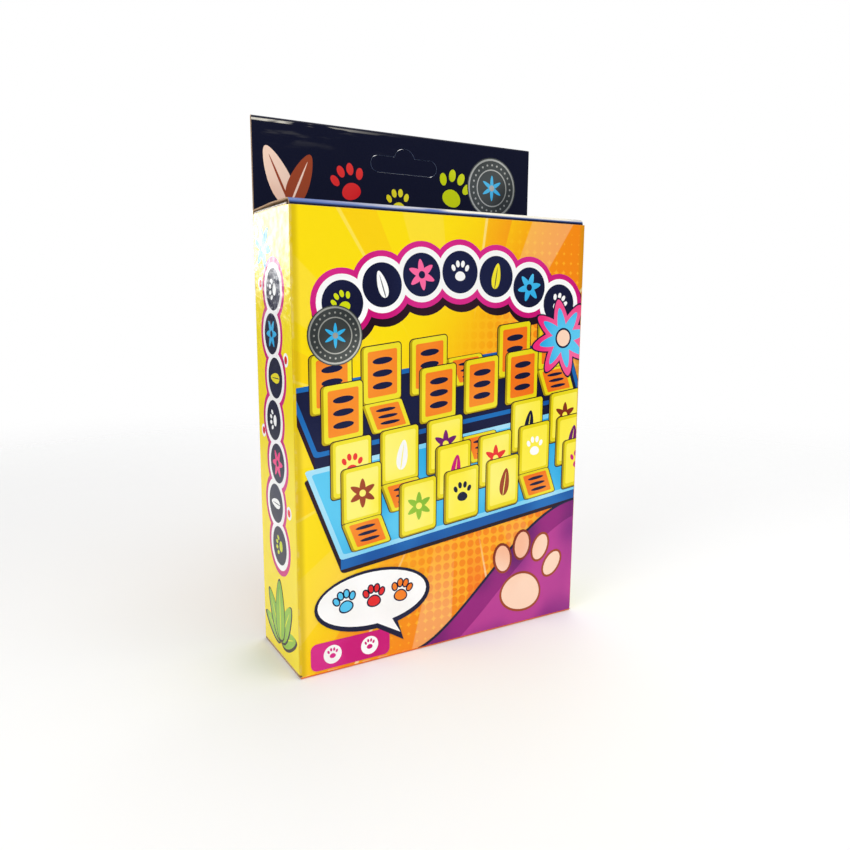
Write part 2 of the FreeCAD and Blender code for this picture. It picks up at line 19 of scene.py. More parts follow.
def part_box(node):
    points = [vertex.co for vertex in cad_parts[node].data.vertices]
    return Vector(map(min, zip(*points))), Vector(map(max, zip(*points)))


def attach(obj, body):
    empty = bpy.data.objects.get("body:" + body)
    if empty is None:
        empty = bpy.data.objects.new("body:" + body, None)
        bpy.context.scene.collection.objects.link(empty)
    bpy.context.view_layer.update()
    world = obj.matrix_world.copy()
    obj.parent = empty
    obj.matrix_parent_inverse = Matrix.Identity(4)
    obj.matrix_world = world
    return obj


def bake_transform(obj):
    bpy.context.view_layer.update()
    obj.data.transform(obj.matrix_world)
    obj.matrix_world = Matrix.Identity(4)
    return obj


MM = 0.001
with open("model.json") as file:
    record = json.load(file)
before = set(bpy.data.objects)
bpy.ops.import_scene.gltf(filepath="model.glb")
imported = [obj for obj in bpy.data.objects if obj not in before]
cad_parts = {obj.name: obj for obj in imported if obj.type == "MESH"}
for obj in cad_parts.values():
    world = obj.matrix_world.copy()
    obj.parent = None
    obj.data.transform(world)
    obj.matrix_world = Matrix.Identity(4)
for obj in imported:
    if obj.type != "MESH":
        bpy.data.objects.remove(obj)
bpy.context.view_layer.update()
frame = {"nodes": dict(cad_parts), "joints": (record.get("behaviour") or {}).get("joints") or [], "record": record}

# %% [markdown]
# ## The camera
#
# The camera was solved from the carton's corners in the photo. It stands close, a third of a
# metre away, so the verticals lean together. A camera looks down its own -Z, so it is first set
# upright; then `TURN` goes round the carton, `TILT` looks down, and `ROLL` leans the picture.

# %% The camera
CAMERA_PLACE = Vector((-160.94, -274.61, 143.51)) * MM
LENS = 31.62
TURN = 0.5288
TILT = 0.1641
ROLL = -0.0057


def make_camera():
    """The camera that took the photo."""
    lens = bpy.data.cameras.new("photo_camera")
    lens.lens = LENS
    lens.clip_start = MM
    camera = bpy.data.objects.new("photo_camera", lens)
    bpy.context.collection.objects.link(camera)
    looking = Matrix.Rotation(pi / 2, 4, "X")
    for angle, axis in ((TURN, "Y"), (TILT, "X"), (ROLL, "Z")):
        looking = looking @ Matrix.Rotation(-angle, 4, axis)
    camera.matrix_world = Matrix.Translation(CAMERA_PLACE) @ looking
    bpy.context.scene.camera = camera
    return camera


camera = make_camera()
print("camera at", [round(value, 4) for value in camera.location])

# %% [markdown]
# ## Sums with sockets
#
# A material is a sum written in nodes. Wiring each Math node by hand buries the sum, so `Wire`
# wraps a node's output and lets Python's own signs make the Math nodes, also when the number comes
# first, as in `1 - mask`. `rise` is the soft step that every mask below is made of.

# %% Wires
class Wire:
    """A node's output that can stand in a Python sum."""

    def __init__(self, bench, socket):
        self.bench = bench
        self.socket = socket

    def math(self, operation, first, second=0.0):
        return self.bench.node("ShaderNodeMath", {"operation": operation}, {0: first, 1: second})

    def __add__(self, other):
        return self.math("ADD", self, other)

    def __sub__(self, other):
        return self.math("SUBTRACT", self, other)

    def __rsub__(self, other):
        return self.math("SUBTRACT", other, self)

    def __mul__(self, other):
        return self.math("MULTIPLY", self, other)

    def __truediv__(self, other):
        return self.math("DIVIDE", self, other)

    def __abs__(self):
        return self.math("ABSOLUTE", self)

    __radd__ = __add__
    __rmul__ = __mul__

    def least(self, other):
        return self.math("MINIMUM", self, other)

    def most(self, other):
        return self.math("MAXIMUM", self, other)

    def sine(self):
        return self.math("SINE", self)

    def part(self):
        return self.math("FRACT", self)

    def root(self):
        return self.math("SQRT", self)

    def angle(self, across):
        return self.math("ARCTAN2", self, across)

    def rise(self, low, high):
        """A soft step from 0 at low to 1 at high; low may be the larger number."""
        sockets = {"Value": self, "From Min": low, "From Max": high}
        return self.bench.node("ShaderNodeMapRange", {"interpolation_type": "SMOOTHSTEP"}, sockets)


print("wires ready")

# %% [markdown]
# `Bench` is a node tree to work on. Its one method sets out any node: the kind, its settings, then
# the values or wires of its sockets.

# %% Bench
class Bench:
    """A node tree on which nodes are set out and wired."""

    def __init__(self, tree):
        self.tree = tree

    def node(self, kind, settings=None, sockets=None, out=0):
        made = self.tree.nodes.new(kind)
        for name, value in (settings or {}).items():
            setattr(made, name, value)
        for name, value in (sockets or {}).items():
            self.plug(made.inputs[name], value)
        return Wire(self, made.outputs[out])

    def plug(self, socket, value):
        if isinstance(value, Wire):
            self.tree.links.new(value.socket, socket)
        else:
            socket.default_value = value


print("bench ready")

# %% [markdown]
# `Paint` is the bench of one material, with its place and its surface direction at hand. Both are
# read in the object's own coordinates, so a pattern stays on its piece when the piece moves. A Mix
# node has sockets for numbers, vectors and colours under the same names, so those for colours are
# found by their numbers.

# %% Paint
MIX_SHARE = 0
MIX_BELOW = 6
MIX_ABOVE = 7
MIXED = 2


class Paint(Bench):
    """A material while it is being made."""

    def __init__(self, name):
        self.material = bpy.data.materials.new(name)
        self.material.use_nodes = True
        super().__init__(self.material.node_tree)
        self.shader = self.tree.nodes["Principled BSDF"]
        self.spot = self.node("ShaderNodeTexCoord", out="Object")
        self.facing = self.node("ShaderNodeTexCoord", out="Normal")

    def axes(self, wire, scale=1.0):
        """The X, Y and Z of a vector, times a scale."""
        return [self.node("ShaderNodeSeparateXYZ", None, {0: wire}, axis) * scale for axis in "XYZ"]

    def place(self):
        """Where a point lies, in millimetres."""
        return self.axes(self.spot, 1 / MM)

    def noise(self, scale, detail, spot=None):
        sockets = {"Vector": spot or self.spot, "Scale": scale, "Detail": detail}
        return self.node("ShaderNodeTexNoise", None, sockets)

    def streaks(self, stretch, scale, detail):
        """Noise that is drawn out along X."""
        sockets = {"Vector": self.spot, "Scale": (stretch, 1.0, 1.0)}
        return self.noise(scale, detail, self.node("ShaderNodeMapping", None, sockets))

    def mix(self, share, below, above):
        sockets = {MIX_SHARE: share, MIX_BELOW: below, MIX_ABOVE: above}
        return self.node("ShaderNodeMix", {"data_type": "RGBA"}, sockets, MIXED)

    def bump(self, height, distance=1.0, strength=1.0):
        sockets = {"Height": height, "Distance": distance, "Strength": strength}
        return self.node("ShaderNodeBump", None, sockets)

    def set(self, **values):
        """Values or wires for the shader's sockets, with _ for a space in their names."""
        for name, value in values.items():
            self.plug(self.shader.inputs[name.replace("_", " ")], value)
        return self.material


print("paint ready")

# %% [markdown]
# Colours are written as they look on a screen, from 0 to 255. A shader counts light instead, so
# `rgb` takes the screen's curve out of them.

# %% Screen colours
FULL = 255


def rgb(red, green, blue):
    """A colour as seen on a screen, made linear for the shader."""
    seen = Color((red / FULL, green / FULL, blue / FULL))
    return (*seen.from_srgb_to_scene_linear(), 1.0)


print("a grey of 128 sends", round(rgb(128, 128, 128)[0], 3), "of the light")

# %% [markdown]
# ## The stage
#
# The photo has a white ground and soft light. A floor needs no edge if it fades with distance into
# a white world, so its alpha falls off round the carton, and close by it keeps the carton's shadow.

# %% The floor
FLOOR_HALF = 3.0
FLOOR_FADE = (0.22, 0.75)
FLOOR_TONE = rgb(244, 244, 244)
FLOOR_ROUGHNESS = 0.9


def add_piece(name, shape, material):
    """A bmesh as a piece in the scene, with its material; the bmesh is used up."""
    mesh = bpy.data.meshes.new(name)
    shape.to_mesh(mesh)
    shape.free()
    mesh.materials.append(material)
    piece = bpy.data.objects.new(name, mesh)
    bpy.context.collection.objects.link(piece)
    print(name, len(mesh.polygons), "faces")
    return piece


def make_floor():
    """A pale floor that melts into the white world."""
    grid = bmesh.new()
    bmesh.ops.create_grid(grid, x_segments=1, y_segments=1, size=FLOOR_HALF)
    paint = Paint("floor")
    across, deep, _ = paint.axes(paint.spot)
    far = (across * across + deep * deep).root().rise(*FLOOR_FADE)
    paint.set(Base_Color=FLOOR_TONE, Roughness=FLOOR_ROUGHNESS, Specular_IOR_Level=0.0, Alpha=1 - far)
    return add_piece("floor", grid, paint.material)


floor = make_floor()

# %% [markdown]
# The world is full white for what the camera sees, also through something clear. It is dimmer as a
# light, and dimmer still in reflections: a laminated board mirrors a room that is darker than its
# white backdrop.

# %% The white world
WHITE = (1.0, 1.0, 1.0, 1.0)
WORLD_LIGHT = 0.46
WORLD_GLOSS = 0.16


def make_world():
    """White to the eye, softer as a light and in reflections."""
    world = bpy.data.worlds.new("white")
    world.use_nodes = True
    bench = Bench(world.node_tree)
    gloss = bench.node("ShaderNodeLightPath", out="Is Glossy Ray")
    seen = bench.node("ShaderNodeLightPath", out="Is Camera Ray")
    through = bench.node("ShaderNodeLightPath", out="Is Transmission Ray")
    light = WORLD_LIGHT + gloss * (WORLD_GLOSS - WORLD_LIGHT)
    background = world.node_tree.nodes["Background"]
    bench.plug(background.inputs["Color"], WHITE)
    bench.plug(background.inputs["Strength"], light + seen.most(through) * (1 - light))
    bpy.context.scene.world = world


make_world()
bpy.context.scene.view_settings.view_transform = "Standard"
print("world light", WORLD_LIGHT)

# %% [markdown]
# Softboxes are area lamps. The key stands in front, the fill at the left, a strip overhead lights
# the folds, and one behind keeps the back out of the dark. The last is a tall box behind the left
# side. It gives the glare that washes the top of the side panel, so it is seen only in reflections.

# %% Softboxes
HEART = (0.0, 0.0, 0.1)
SIDE_TOP = (-0.067, 0.0, 0.16)


def make_softbox(name, place, aim, wide, high, watts):
    """An area lamp at a place that looks at its aim."""
    light = bpy.data.lights.new(name, "AREA")
    light.shape = "RECTANGLE"
    light.size = wide
    light.size_y = high
    light.energy = watts
    lamp = bpy.data.objects.new(name, light)
    bpy.context.collection.objects.link(lamp)
    turn = (Vector(aim) - Vector(place)).to_track_quat("-Z", "Y")
    lamp.matrix_world = Matrix.Translation(place) @ turn.to_matrix().to_4x4()
    return lamp


lamps = [
    make_softbox("key", place=(0.2, -0.75, 1.0), aim=HEART, wide=1.2, high=1.0, watts=6.8),
    make_softbox("fill", place=(-0.85, -0.35, 0.45), aim=HEART, wide=0.5, high=0.7, watts=3.6),
    make_softbox("overhead", place=(0.38, 0.1, 1.1), aim=HEART, wide=0.9, high=0.6, watts=3.0),
    make_softbox("back_fill", place=(0.5, 0.85, 0.5), aim=HEART, wide=0.8, high=0.8, watts=2.4),
    make_softbox("side_glare", place=(-0.36, 0.82, 0.42), aim=SIDE_TOP, wide=0.26, high=0.5, watts=3.6),
]
lamps[-1].visible_diffuse = False
print(len(lamps), "softboxes")

# %% [markdown]
# ## Laminated board
#
# Paperboard is printed and laminated outside, brown-grey and fibrous inside and at its cut edges.
# The fibres are noise between two browns. Every noise here is a pair: how fine it is, and its
# detail. The span beside it says which part of the noise counts.

# %% Raw board
RAW = rgb(212, 180, 148)
RAW_DARK = rgb(164, 130, 98)
FIBRE_NOISE = (2400.0, 4.0)
FIBRE_SPAN = (0.35, 0.7)


def fibre(paint):
    """The colour of raw board: brown-grey with short fibres."""
    return paint.mix(paint.noise(*FIBRE_NOISE).rise(*FIBRE_SPAN), RAW_DARK, RAW)


print("raw board ready")

# %% [markdown]
# One film serves every inked surface, so that a reflection runs on across the inks. The film is
# smooth, but the board under it never is: `UNEVENNESS` lists long waves, ripples and grain, each
# with its depth. The tops of the side panels are handled most, and there the film is crinkled.

# %% The film's bumps
UNEVENNESS = ((24.0, 1.0, 0.35 * MM), (130.0, 1.0, 0.09 * MM), (900.0, 2.0, 0.002 * MM))
CRINKLE_NOISE = (300.0, 3.0)
CRINKLE_DEPTH = 0.3 * MM


def film_skin(paint, handled):
    """The bumps of the board under its film, with crinkles where it is handled."""
    heights = [paint.noise(scale, detail) * depth for scale, detail, depth in UNEVENNESS]
    crinkles = paint.noise(*CRINKLE_NOISE) * handled * CRINKLE_DEPTH
    return paint.bump(sum(heights, crinkles))


print(len(UNEVENNESS), "sizes of bumps")

# %% [markdown]
# The film's shine is low but sharp. A few specks of dust and faint smears break it up, more so
# where hands go. Where the board is raw there is no film, so `raw` takes it away.

# %% The film
# A pale tone for dust specks and rubbed wear; it is also the colour of the painted glints on the header and the
# painted glare on the lid.
PALE_WEAR_AND_GLINT = rgb(236, 230, 214)
FILM_ROUGHNESS = 0.16
FILM_SHINE = 0.16
FILM_COAT = 0.05
COAT_ROUGHNESS = 0.05
RAW_ROUGHNESS = 0.85
HANDLED_HEIGHT = (90.0, 140.0)
SPECK_NOISE = (2600.0, 1.0)
SPECK_SPAN = (0.2, 0.8)
SPECK_SHARE = 0.004
SMEAR_NOISE = (240.0, 3.0)
SMEAR_SPAN = (0.35, 0.7)
SMEAR = 0.03
SIDE_SMEAR = 0.12


def laminate(paint, colour, raw=None):
    """The glossy film over a printed colour, off where the board is raw."""
    sideways = abs(paint.axes(paint.facing)[0])
    handled = sideways * paint.place()[2].rise(*HANDLED_HEIGHT)
    specks = paint.noise(*SPECK_NOISE).rise(*SPECK_SPAN)
    paint.set(Base_Color=paint.mix(specks * SPECK_SHARE, colour, PALE_WEAR_AND_GLINT), Normal=film_skin(paint, handled))
    paint.set(Coat_Roughness=COAT_ROUGHNESS, Specular_IOR_Level=FILM_SHINE)
    smears = paint.noise(*SMEAR_NOISE).rise(*SMEAR_SPAN) * (handled * SIDE_SMEAR + SMEAR)
    film = smears + FILM_ROUGHNESS
    if raw is None:
        return paint.set(Roughness=film, Coat_Weight=FILM_COAT)
    bare = film + raw * (RAW_ROUGHNESS - film)
    return paint.set(Roughness=bare, Coat_Weight=FILM_COAT - raw * FILM_COAT)


print("film ready")

# %% [markdown]
# ### The sleeve's sizes
#
# Nothing is measured twice: width, depth and height come from the sleeve's box in the frame, the
# header's front face from the plug that lies in it, the front panel's top from the mount at the
# middle of the back, and the lid's crease from its joint.

# %% Sizes from the frame
def box_mm(node):
    """A node's lowest and highest corners in millimetres."""
    return [Vector(corner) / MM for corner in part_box(node)]


sleeve_low, sleeve_high = box_mm("carton_sleeve")
lid_low, lid_high = box_mm("lid_panel")
mounts = {mount["name"]: mount["pos_m"] for mount in frame["record"]["mounts"]}
lid_joint = next(joint for joint in frame["joints"] if joint["name"] == "lid_hinge")
HALF_WIDTH = sleeve_high.x
HALF_DEPTH = sleeve_high.y
TOP = sleeve_high.z
HEADER_FRONT = box_mm("hang_slot_plug")[0].y
FRONT_TOP = 2 * mounts["back"][2] / MM
LID_HINGE = lid_joint["pos_m"][2] / MM
CREASE = 0.9
print("front", round(2 * HALF_WIDTH, 1), "x", round(FRONT_TOP, 1), "mm, header to", round(TOP, 1), "mm")

# %% [markdown]
# ### The ground of the print
#
# The broad panels fade from yellow to orange, from the upper left to the lower right. The fade
# follows one number, the slope, which grows along that line.

# %% The fade
YELLOW = rgb(250, 220, 10)
ORANGE = rgb(247, 152, 14)
DEEP_ORANGE = rgb(240, 118, 24)
FADE_START = 0.9
FADE_RUN = 1.6
ORANGE_SPAN = (0.2, 0.8)
DEEP_SPAN = (0.8, 1.4)


def down_right(x, z):
    """How far a point lies towards the lower right of its panel."""
    return x / (2 * HALF_WIDTH) - z / (FADE_RUN * FRONT_TOP) + FADE_START


def fade(paint, slope):
    """Yellow, then orange, then deep orange as the slope grows."""
    ground = paint.mix(slope.rise(*ORANGE_SPAN), YELLOW, ORANGE)
    return paint.mix(slope.rise(*DEEP_SPAN), ground, DEEP_ORANGE)


print("orange from a slope of", ORANGE_SPAN[0], "to", ORANGE_SPAN[1])

# %% [markdown]
# Halftone dots lie over the warm part. The fractions of X and Z, counted in steps, tell how far a
# point is from the middle of its little square. The dots grow outwards, until only stars are left
# between them.

# %% Halftone dots
HALFTONE_PALE = rgb(253, 180, 36)
HALFTONE_DEEP = rgb(243, 130, 14)
HALFTONE_STEP = 4.0
HALFTONE_SIZE = 0.4
HALFTONE_GROWTH = 0.28
HALFTONE_REACH = (60.0, 105.0)
HALFTONE_SOFT = 0.04
HALFTONE_SPAN = (0.4, 0.8)
HALFTONE_SHARE = 0.75


def halftone(paint, ground, slope, x, z, far):
    """The ground with deep orange dots on pale orange over its warm part."""
    across = (x / HALFTONE_STEP).part() - 0.5
    up = (z / HALFTONE_STEP).part() - 0.5
    size = far.rise(*HALFTONE_REACH) * HALFTONE_GROWTH + HALFTONE_SIZE
    dots = ((across * across + up * up).root() - size).rise(HALFTONE_SOFT, -HALFTONE_SOFT)
    tint = paint.mix(dots, HALFTONE_PALE, HALFTONE_DEEP)
    return paint.mix(slope.rise(*HALFTONE_SPAN) * HALFTONE_SHARE, ground, tint)


print("a dot every", HALFTONE_STEP, "mm")

# %% [markdown]
# A sun ray is a slice of the angle round `RAY_MIDDLE`: the turn is scaled to the number of rays, and
# its fraction tells where in its slice a point lies. Each slice has a deep ray, a pale one and a
# sharp line. All are stronger where the ground is warm, and they leave the middle clear.

# %% Sun rays
Ray = namedtuple("Ray", "span soft least warmth colour")
RAY_DEEP = rgb(242, 104, 22)
RAY_PALE = rgb(255, 240, 190)
RAYS = (
    Ray(span=(0.0, 0.2), soft=0.01, least=0.15, warmth=0.6, colour=RAY_DEEP),
    Ray(span=(0.55, 0.85), soft=0.01, least=0.05, warmth=0.15, colour=RAY_PALE),
    Ray(span=(0.194, 0.22), soft=0.006, least=0.15, warmth=0.75, colour=RAY_PALE),
)
RAY_MIDDLE = (4.0, 92.0)
RAY_COUNT = 9
RAY_START = 0.15
RAY_CLEAR = 42.0


def between(wire, span, soft):
    """1 between the two ends of a span, with soft edges inside it."""
    return wire.rise(span[0], span[0] + soft) * wire.rise(span[1], span[1] - soft)


def sunburst(paint, x, z):
    """Yellow to orange, with halftone dots and sharp rays."""
    across = x - RAY_MIDDLE[0]
    up = z - RAY_MIDDLE[1]
    far = (across * across + up * up).root()
    slope = down_right(x, z)
    warm = slope.rise(*ORANGE_SPAN)
    ground = halftone(paint, fade(paint, slope), slope, x, z, far)
    out = far.rise(RAY_CLEAR, 2 * RAY_CLEAR)
    turn = (up.angle(across) * (RAY_COUNT / (2 * pi)) + RAY_START).part()
    for ray in RAYS:
        strength = out * (ray.least + warm * ray.warmth)
        ground = paint.mix(between(turn, ray.span, ray.soft) * strength, ground, ray.colour)
    return ground


print(RAY_COUNT, "rays of", len(RAYS), "kinds")

# %% [markdown]
# ### The sleeve's board
#
# One material covers the whole sleeve, so it has to tell print from raw board. The outer skin is a
# rounded box: a point's depth under that box comes from the usual distance formula, and what lies
# deeper than the ink is raw. Above the lid's crease it belongs to the navy header, which is printed
# on both faces and raw at its cut ends.

# %% Where the sleeve is raw
INK_DEPTH = (-0.14, -0.28)
SHARP = 0.1
END_FACE = (0.6, 0.7)
CUT_FACE = (0.5, 0.4)
CUT_DROP = (1.0, 1.2)


def sleeve_raw(x, y, z, side, depth, header):
    """Where the sleeve is raw: inside, on its cut top edge, and at the header's cut ends."""
    out_x = abs(x) - (HALF_WIDTH - CREASE)
    out_y = abs(y) - (HALF_DEPTH - CREASE)
    round_x = out_x.most(0.0)
    round_y = out_y.most(0.0)
    skin = (round_x * round_x + round_y * round_y).root() + out_x.most(out_y).least(0.0) - CREASE
    inside = skin.rise(*INK_DEPTH)
    cut = abs(depth).rise(*CUT_FACE) * (TOP - z).rise(*CUT_DROP)
    ends = abs(side).rise(*END_FACE).most(cut)
    top_edge = z.rise(FRONT_TOP - SHARP, FRONT_TOP) * y.rise(0.0, -CREASE)
    return (inside + header * (ends - inside)).most(top_edge)


print("raw deeper than", -INK_DEPTH[1], "mm")

# %% [markdown]
# Marks of use are masks too. Corners and foot are rubbed through in spots, which noise spreads
# along them.

# %% Rubbed corners and foot
RUB_BAND = (1.0, 0.3)
RUB_SHARE = 0.3
FOOT_BAND = (1.6, 0.6)
WEAR_NOISE = (260.0, 3.0)
WEAR_SPAN = (0.46, 0.62)
WEAR_SHARE = 0.5


def rubbed(paint, ground, corner, below, z):
    """Corners and foot with rubbed spots."""
    near = corner.rise(*RUB_BAND) * below * RUB_SHARE + z.rise(*FOOT_BAND)
    wear = near * paint.noise(*WEAR_NOISE).rise(*WEAR_SPAN)
    return paint.mix(wear * WEAR_SHARE, ground, PALE_WEAR_AND_GLINT)


print("foot rubbed up to", FOOT_BAND[0], "mm")

# %% [markdown]
# The header's folded top gets painted glints, pale streaks of painted highlight, more to the left,
# and the board under it is scuffed. `STREAK` draws the noise out along the fold.

# %% Painted glints and scuffs
STREAK = 0.16
CREST = (0.8, 2.0)
CREST_SOFT = 0.35
CREST_DEPTH = (0.8, 1.0)
GLINT_NOISE = (420.0, 2.0)
GLINT_SPAN = (0.44, 0.56)
GLINT_SHARE = 0.9
SCUFF_NOISE = (330.0, 3.0)
SCUFF_SPAN = (0.58, 0.72)
SCUFF_END = 0.3
SCUFF_REACH = (12.0, 4.0)
SCUFF_SHARE = 0.05


def painted_glints_and_scuffs(paint, ground, header, x, y, z):
    """The header's folded top with painted glints as a highlight, and scuffs under it."""
    crest = between(TOP - z, CREST, CREST_SOFT) * (HALF_DEPTH - y).rise(*CREST_DEPTH)
    # Painted highlight: pale streaks along the crest, strongest at the left.
    glint = paint.streaks(STREAK, *GLINT_NOISE).rise(*GLINT_SPAN) * crest * x.rise(0.0, -HALF_WIDTH)
    scuff = paint.streaks(STREAK, *SCUFF_NOISE).rise(*SCUFF_SPAN) * (TOP - z).rise(*SCUFF_REACH)
    scuff = scuff * header * x.rise(SCUFF_END * HALF_WIDTH, -HALF_WIDTH)
    return paint.mix(glint * GLINT_SHARE + scuff * SCUFF_SHARE, ground, PALE_WEAR_AND_GLINT)


print("glints from", CREST[0], "to", CREST[1], "mm under the top")

# %% [markdown]
# Now the sleeve's material can be put together: the sunburst on the broad panels, yellow on the
# sides, navy above the lid's crease, a little painted shade at the folds, then wear and painted
# glints, then raw board over all. The slot's walls are the grey kerf of the die.

# %% The sleeve's board
SIDE_YELLOW = rgb(250, 226, 16)
NAVY = rgb(13, 17, 40)
KERF = rgb(122, 134, 160)
FOLD_SHADE_TONE = rgb(176, 146, 10)
FOLD_BAND = (3.6, 1.2)
FOLD_SHADE = 0.5
SLOT_REACH = (4.0, 6.0)


def paint_sleeve():
    """Printed carton board: sunburst panels, yellow sides, navy header, raw inside and edges."""
    paint = Paint("printed_board")
    x, y, z = paint.place()
    side, depth, _ = paint.axes(paint.facing)
    header = z.rise(LID_HINGE - SHARP, LID_HINGE)
    below = 1 - header
    broad = abs(y).rise(HALF_DEPTH - CREASE - SHARP, HALF_DEPTH - CREASE + SHARP)
    corner = (HALF_WIDTH - abs(x)) + (HALF_DEPTH - abs(y))
    ground = paint.mix(broad, SIDE_YELLOW, sunburst(paint, x, z))
    ground = paint.mix(header, ground, NAVY)
    # Painted shade: a darker olive band on the broad panels next to each upright fold.
    ground = paint.mix(corner.rise(*FOLD_BAND) * below * broad * FOLD_SHADE, ground, FOLD_SHADE_TONE)
    ground = rubbed(paint, ground, corner, below, z)
    ground = painted_glints_and_scuffs(paint, ground, header, x, y, z)
    slot = header * (HALF_WIDTH - abs(x)).rise(*SLOT_REACH)
    core = paint.mix(slot, fibre(paint), KERF)
    raw = sleeve_raw(x, y, z, side, depth, header)
    return laminate(paint, paint.mix(raw, ground, core), raw)


sleeve_board = paint_sleeve()
print(sleeve_board.name, len(sleeve_board.node_tree.nodes), "nodes")

# %% [markdown]
# ### Flaps and plug
#
# Lid, tuck flaps and dust flaps come off the same sheet. Their printed face is the one that looks
# out of the closed carton, so `outward` names that direction for each; the other face and the cut
# edges are raw. The surface's own direction tells which is which. The plug is two plies thick and
# navy on both faces, with the grey kerf of the die round it.

# %% Flaps and plug
TO_LEFT = (-1.0, 0.0, 0.0)
TO_RIGHT = (1.0, 0.0, 0.0)
TO_FRONT = (0.0, -1.0, 0.0)
TO_BACK = (0.0, 1.0, 0.0)
TO_FLOOR = (0.0, 0.0, -1.0)
TO_SKY = (0.0, 0.0, 1.0)
PRINTED_FACE = (0.3, 0.2)
PLUG_FACE = (0.6, 0.4)


def paint_flap(name, printed, outward):
    """Board that is printed on the face that looks outward."""
    paint = Paint(name)
    looks = paint.axes(paint.facing)
    facing = looks[0] * outward[0] + looks[1] * outward[1] + looks[2] * outward[2]
    raw = facing.rise(*PRINTED_FACE)
    colour = printed(paint, looks) if callable(printed) else printed
    return laminate(paint, paint.mix(raw, colour, fibre(paint)), raw)


def paint_plug():
    """The slot's plug: both plies' navy faces, a grey kerf round it."""
    paint = Paint("plug_board")
    raw = abs(paint.axes(paint.facing)[1]).rise(*PLUG_FACE)
    return laminate(paint, paint.mix(raw, NAVY, KERF), raw)


print("flaps and plug ready")

# %% [markdown]
# The lid is a brighter blue. Its front fold gets painted shade where it dives behind the front
# panel, and its rounded edge gets a painted glare, pale in long streaks, more to the right.

# %% The lid's print
LID_BLUE = rgb(52, 90, 164)
LID_GAP_SHADE = rgb(16, 22, 50)
GAP_SHADE_SPAN = (0.1, 0.45)
GLARE_FACE = (0.3, 0.6)
GLARE_SPAN = (0.76, 0.5)
GLARE_STREAK = 0.1
GLARE_END = 0.3
GLARE_DEPTH = (2.9, 1.3)
GLARE_LEFT = 0.1


def lid_print(paint, looks):
    """The lid's blue: painted shade where it dives behind the front panel, painted glare along its fold."""
    x, y, _ = paint.place()
    # Painted shade: the fold darkens as it turns down into the gap behind the front panel.
    tone = paint.mix(looks[2].rise(*GAP_SHADE_SPAN), LID_GAP_SHADE, LID_BLUE)
    # Painted glare: pale streaks on the rounded fold, stronger to the right.
    painted_glare = paint.streaks(GLARE_STREAK, *GLINT_NOISE).rise(*GLARE_SPAN) * looks[2].rise(*GLARE_FACE)
    reach = x.rise(-HALF_WIDTH, GLARE_END * HALF_WIDTH) * (1 - GLARE_LEFT) + GLARE_LEFT
    return paint.mix(painted_glare * reach * (y - lid_low.y).rise(*GLARE_DEPTH), tone, PALE_WEAR_AND_GLINT)


print("lid fold at", round(lid_low.y, 1), "mm")

# %% [markdown]
# ### The game's plastics
#
# The trays are glossy moulded styrene, the knobs too. Such plastic isn't a mirror: it has the faint
# orange peel of the mould, and a little dust dulls it in patches.

# %% Plastics
LIGHT_BLUE = rgb(64, 178, 226)
TRAY_NAVY = rgb(24, 34, 84)
KNOB_YELLOW = rgb(250, 206, 20)
PEEL_NOISE = (700.0, 2.0)
PEEL_DEPTH = 0.02 * MM
PEEL_STRENGTH = 0.5
PLASTIC_ROUGHNESS = 0.32
DUST_NOISE = (160.0, 3.0)
DUST_SPAN = (0.5, 0.75)
DUST_TINT = 0.05
DUST_DULL = 0.1


def paint_plastic(name, colour):
    """Glossy moulded plastic with a faint orange peel and a little dust."""
    paint = Paint(name)
    dust = paint.noise(*DUST_NOISE).rise(*DUST_SPAN)
    shade = paint.mix(dust * DUST_TINT, colour, PALE_WEAR_AND_GLINT)
    normal = paint.bump(paint.noise(*PEEL_NOISE), PEEL_DEPTH, PEEL_STRENGTH)
    return paint.set(Base_Color=shade, Roughness=PLASTIC_ROUGHNESS + dust * DUST_DULL, Normal=normal)


blue_plastic = paint_plastic("blue_plastic", LIGHT_BLUE)
navy_plastic = paint_plastic("navy_plastic", TRAY_NAVY)
yellow_plastic = paint_plastic("yellow_plastic", KNOB_YELLOW)
print("three plastics")

# %% [markdown]
# ### Frames and cards
#
# Each flip frame's node holds its card, so one material paints both. The card is told apart by its
# depth: it is the thin layer in the frame's middle whose two faces look forward and back. Its face
# has a speckled picture field, its back is orange with a pattern of navy dots.

# %% Frames and cards
FRAME_YELLOW = rgb(240, 212, 24)
CARD_WHITE = rgb(244, 240, 226)
CARD_BACK = rgb(240, 132, 36)
CARD_FACE = rgb(250, 228, 90)
CARD_INK = rgb(34, 44, 98)
CARD_LAYER = (0.25, 0.23)
CARD_TURN = (0.4, 0.6)
CARD_ROUGH = 0.25
FRAME_ROUGHNESS = 0.3
FRAME_PEEL = 0.015 * MM
PICTURE_NOISE = (380.0, 3.0)
PICTURE_SPAN = (0.5, 0.53)
DOT_PITCH = 0.9
DOT_SPAN = (0.55, 0.62)


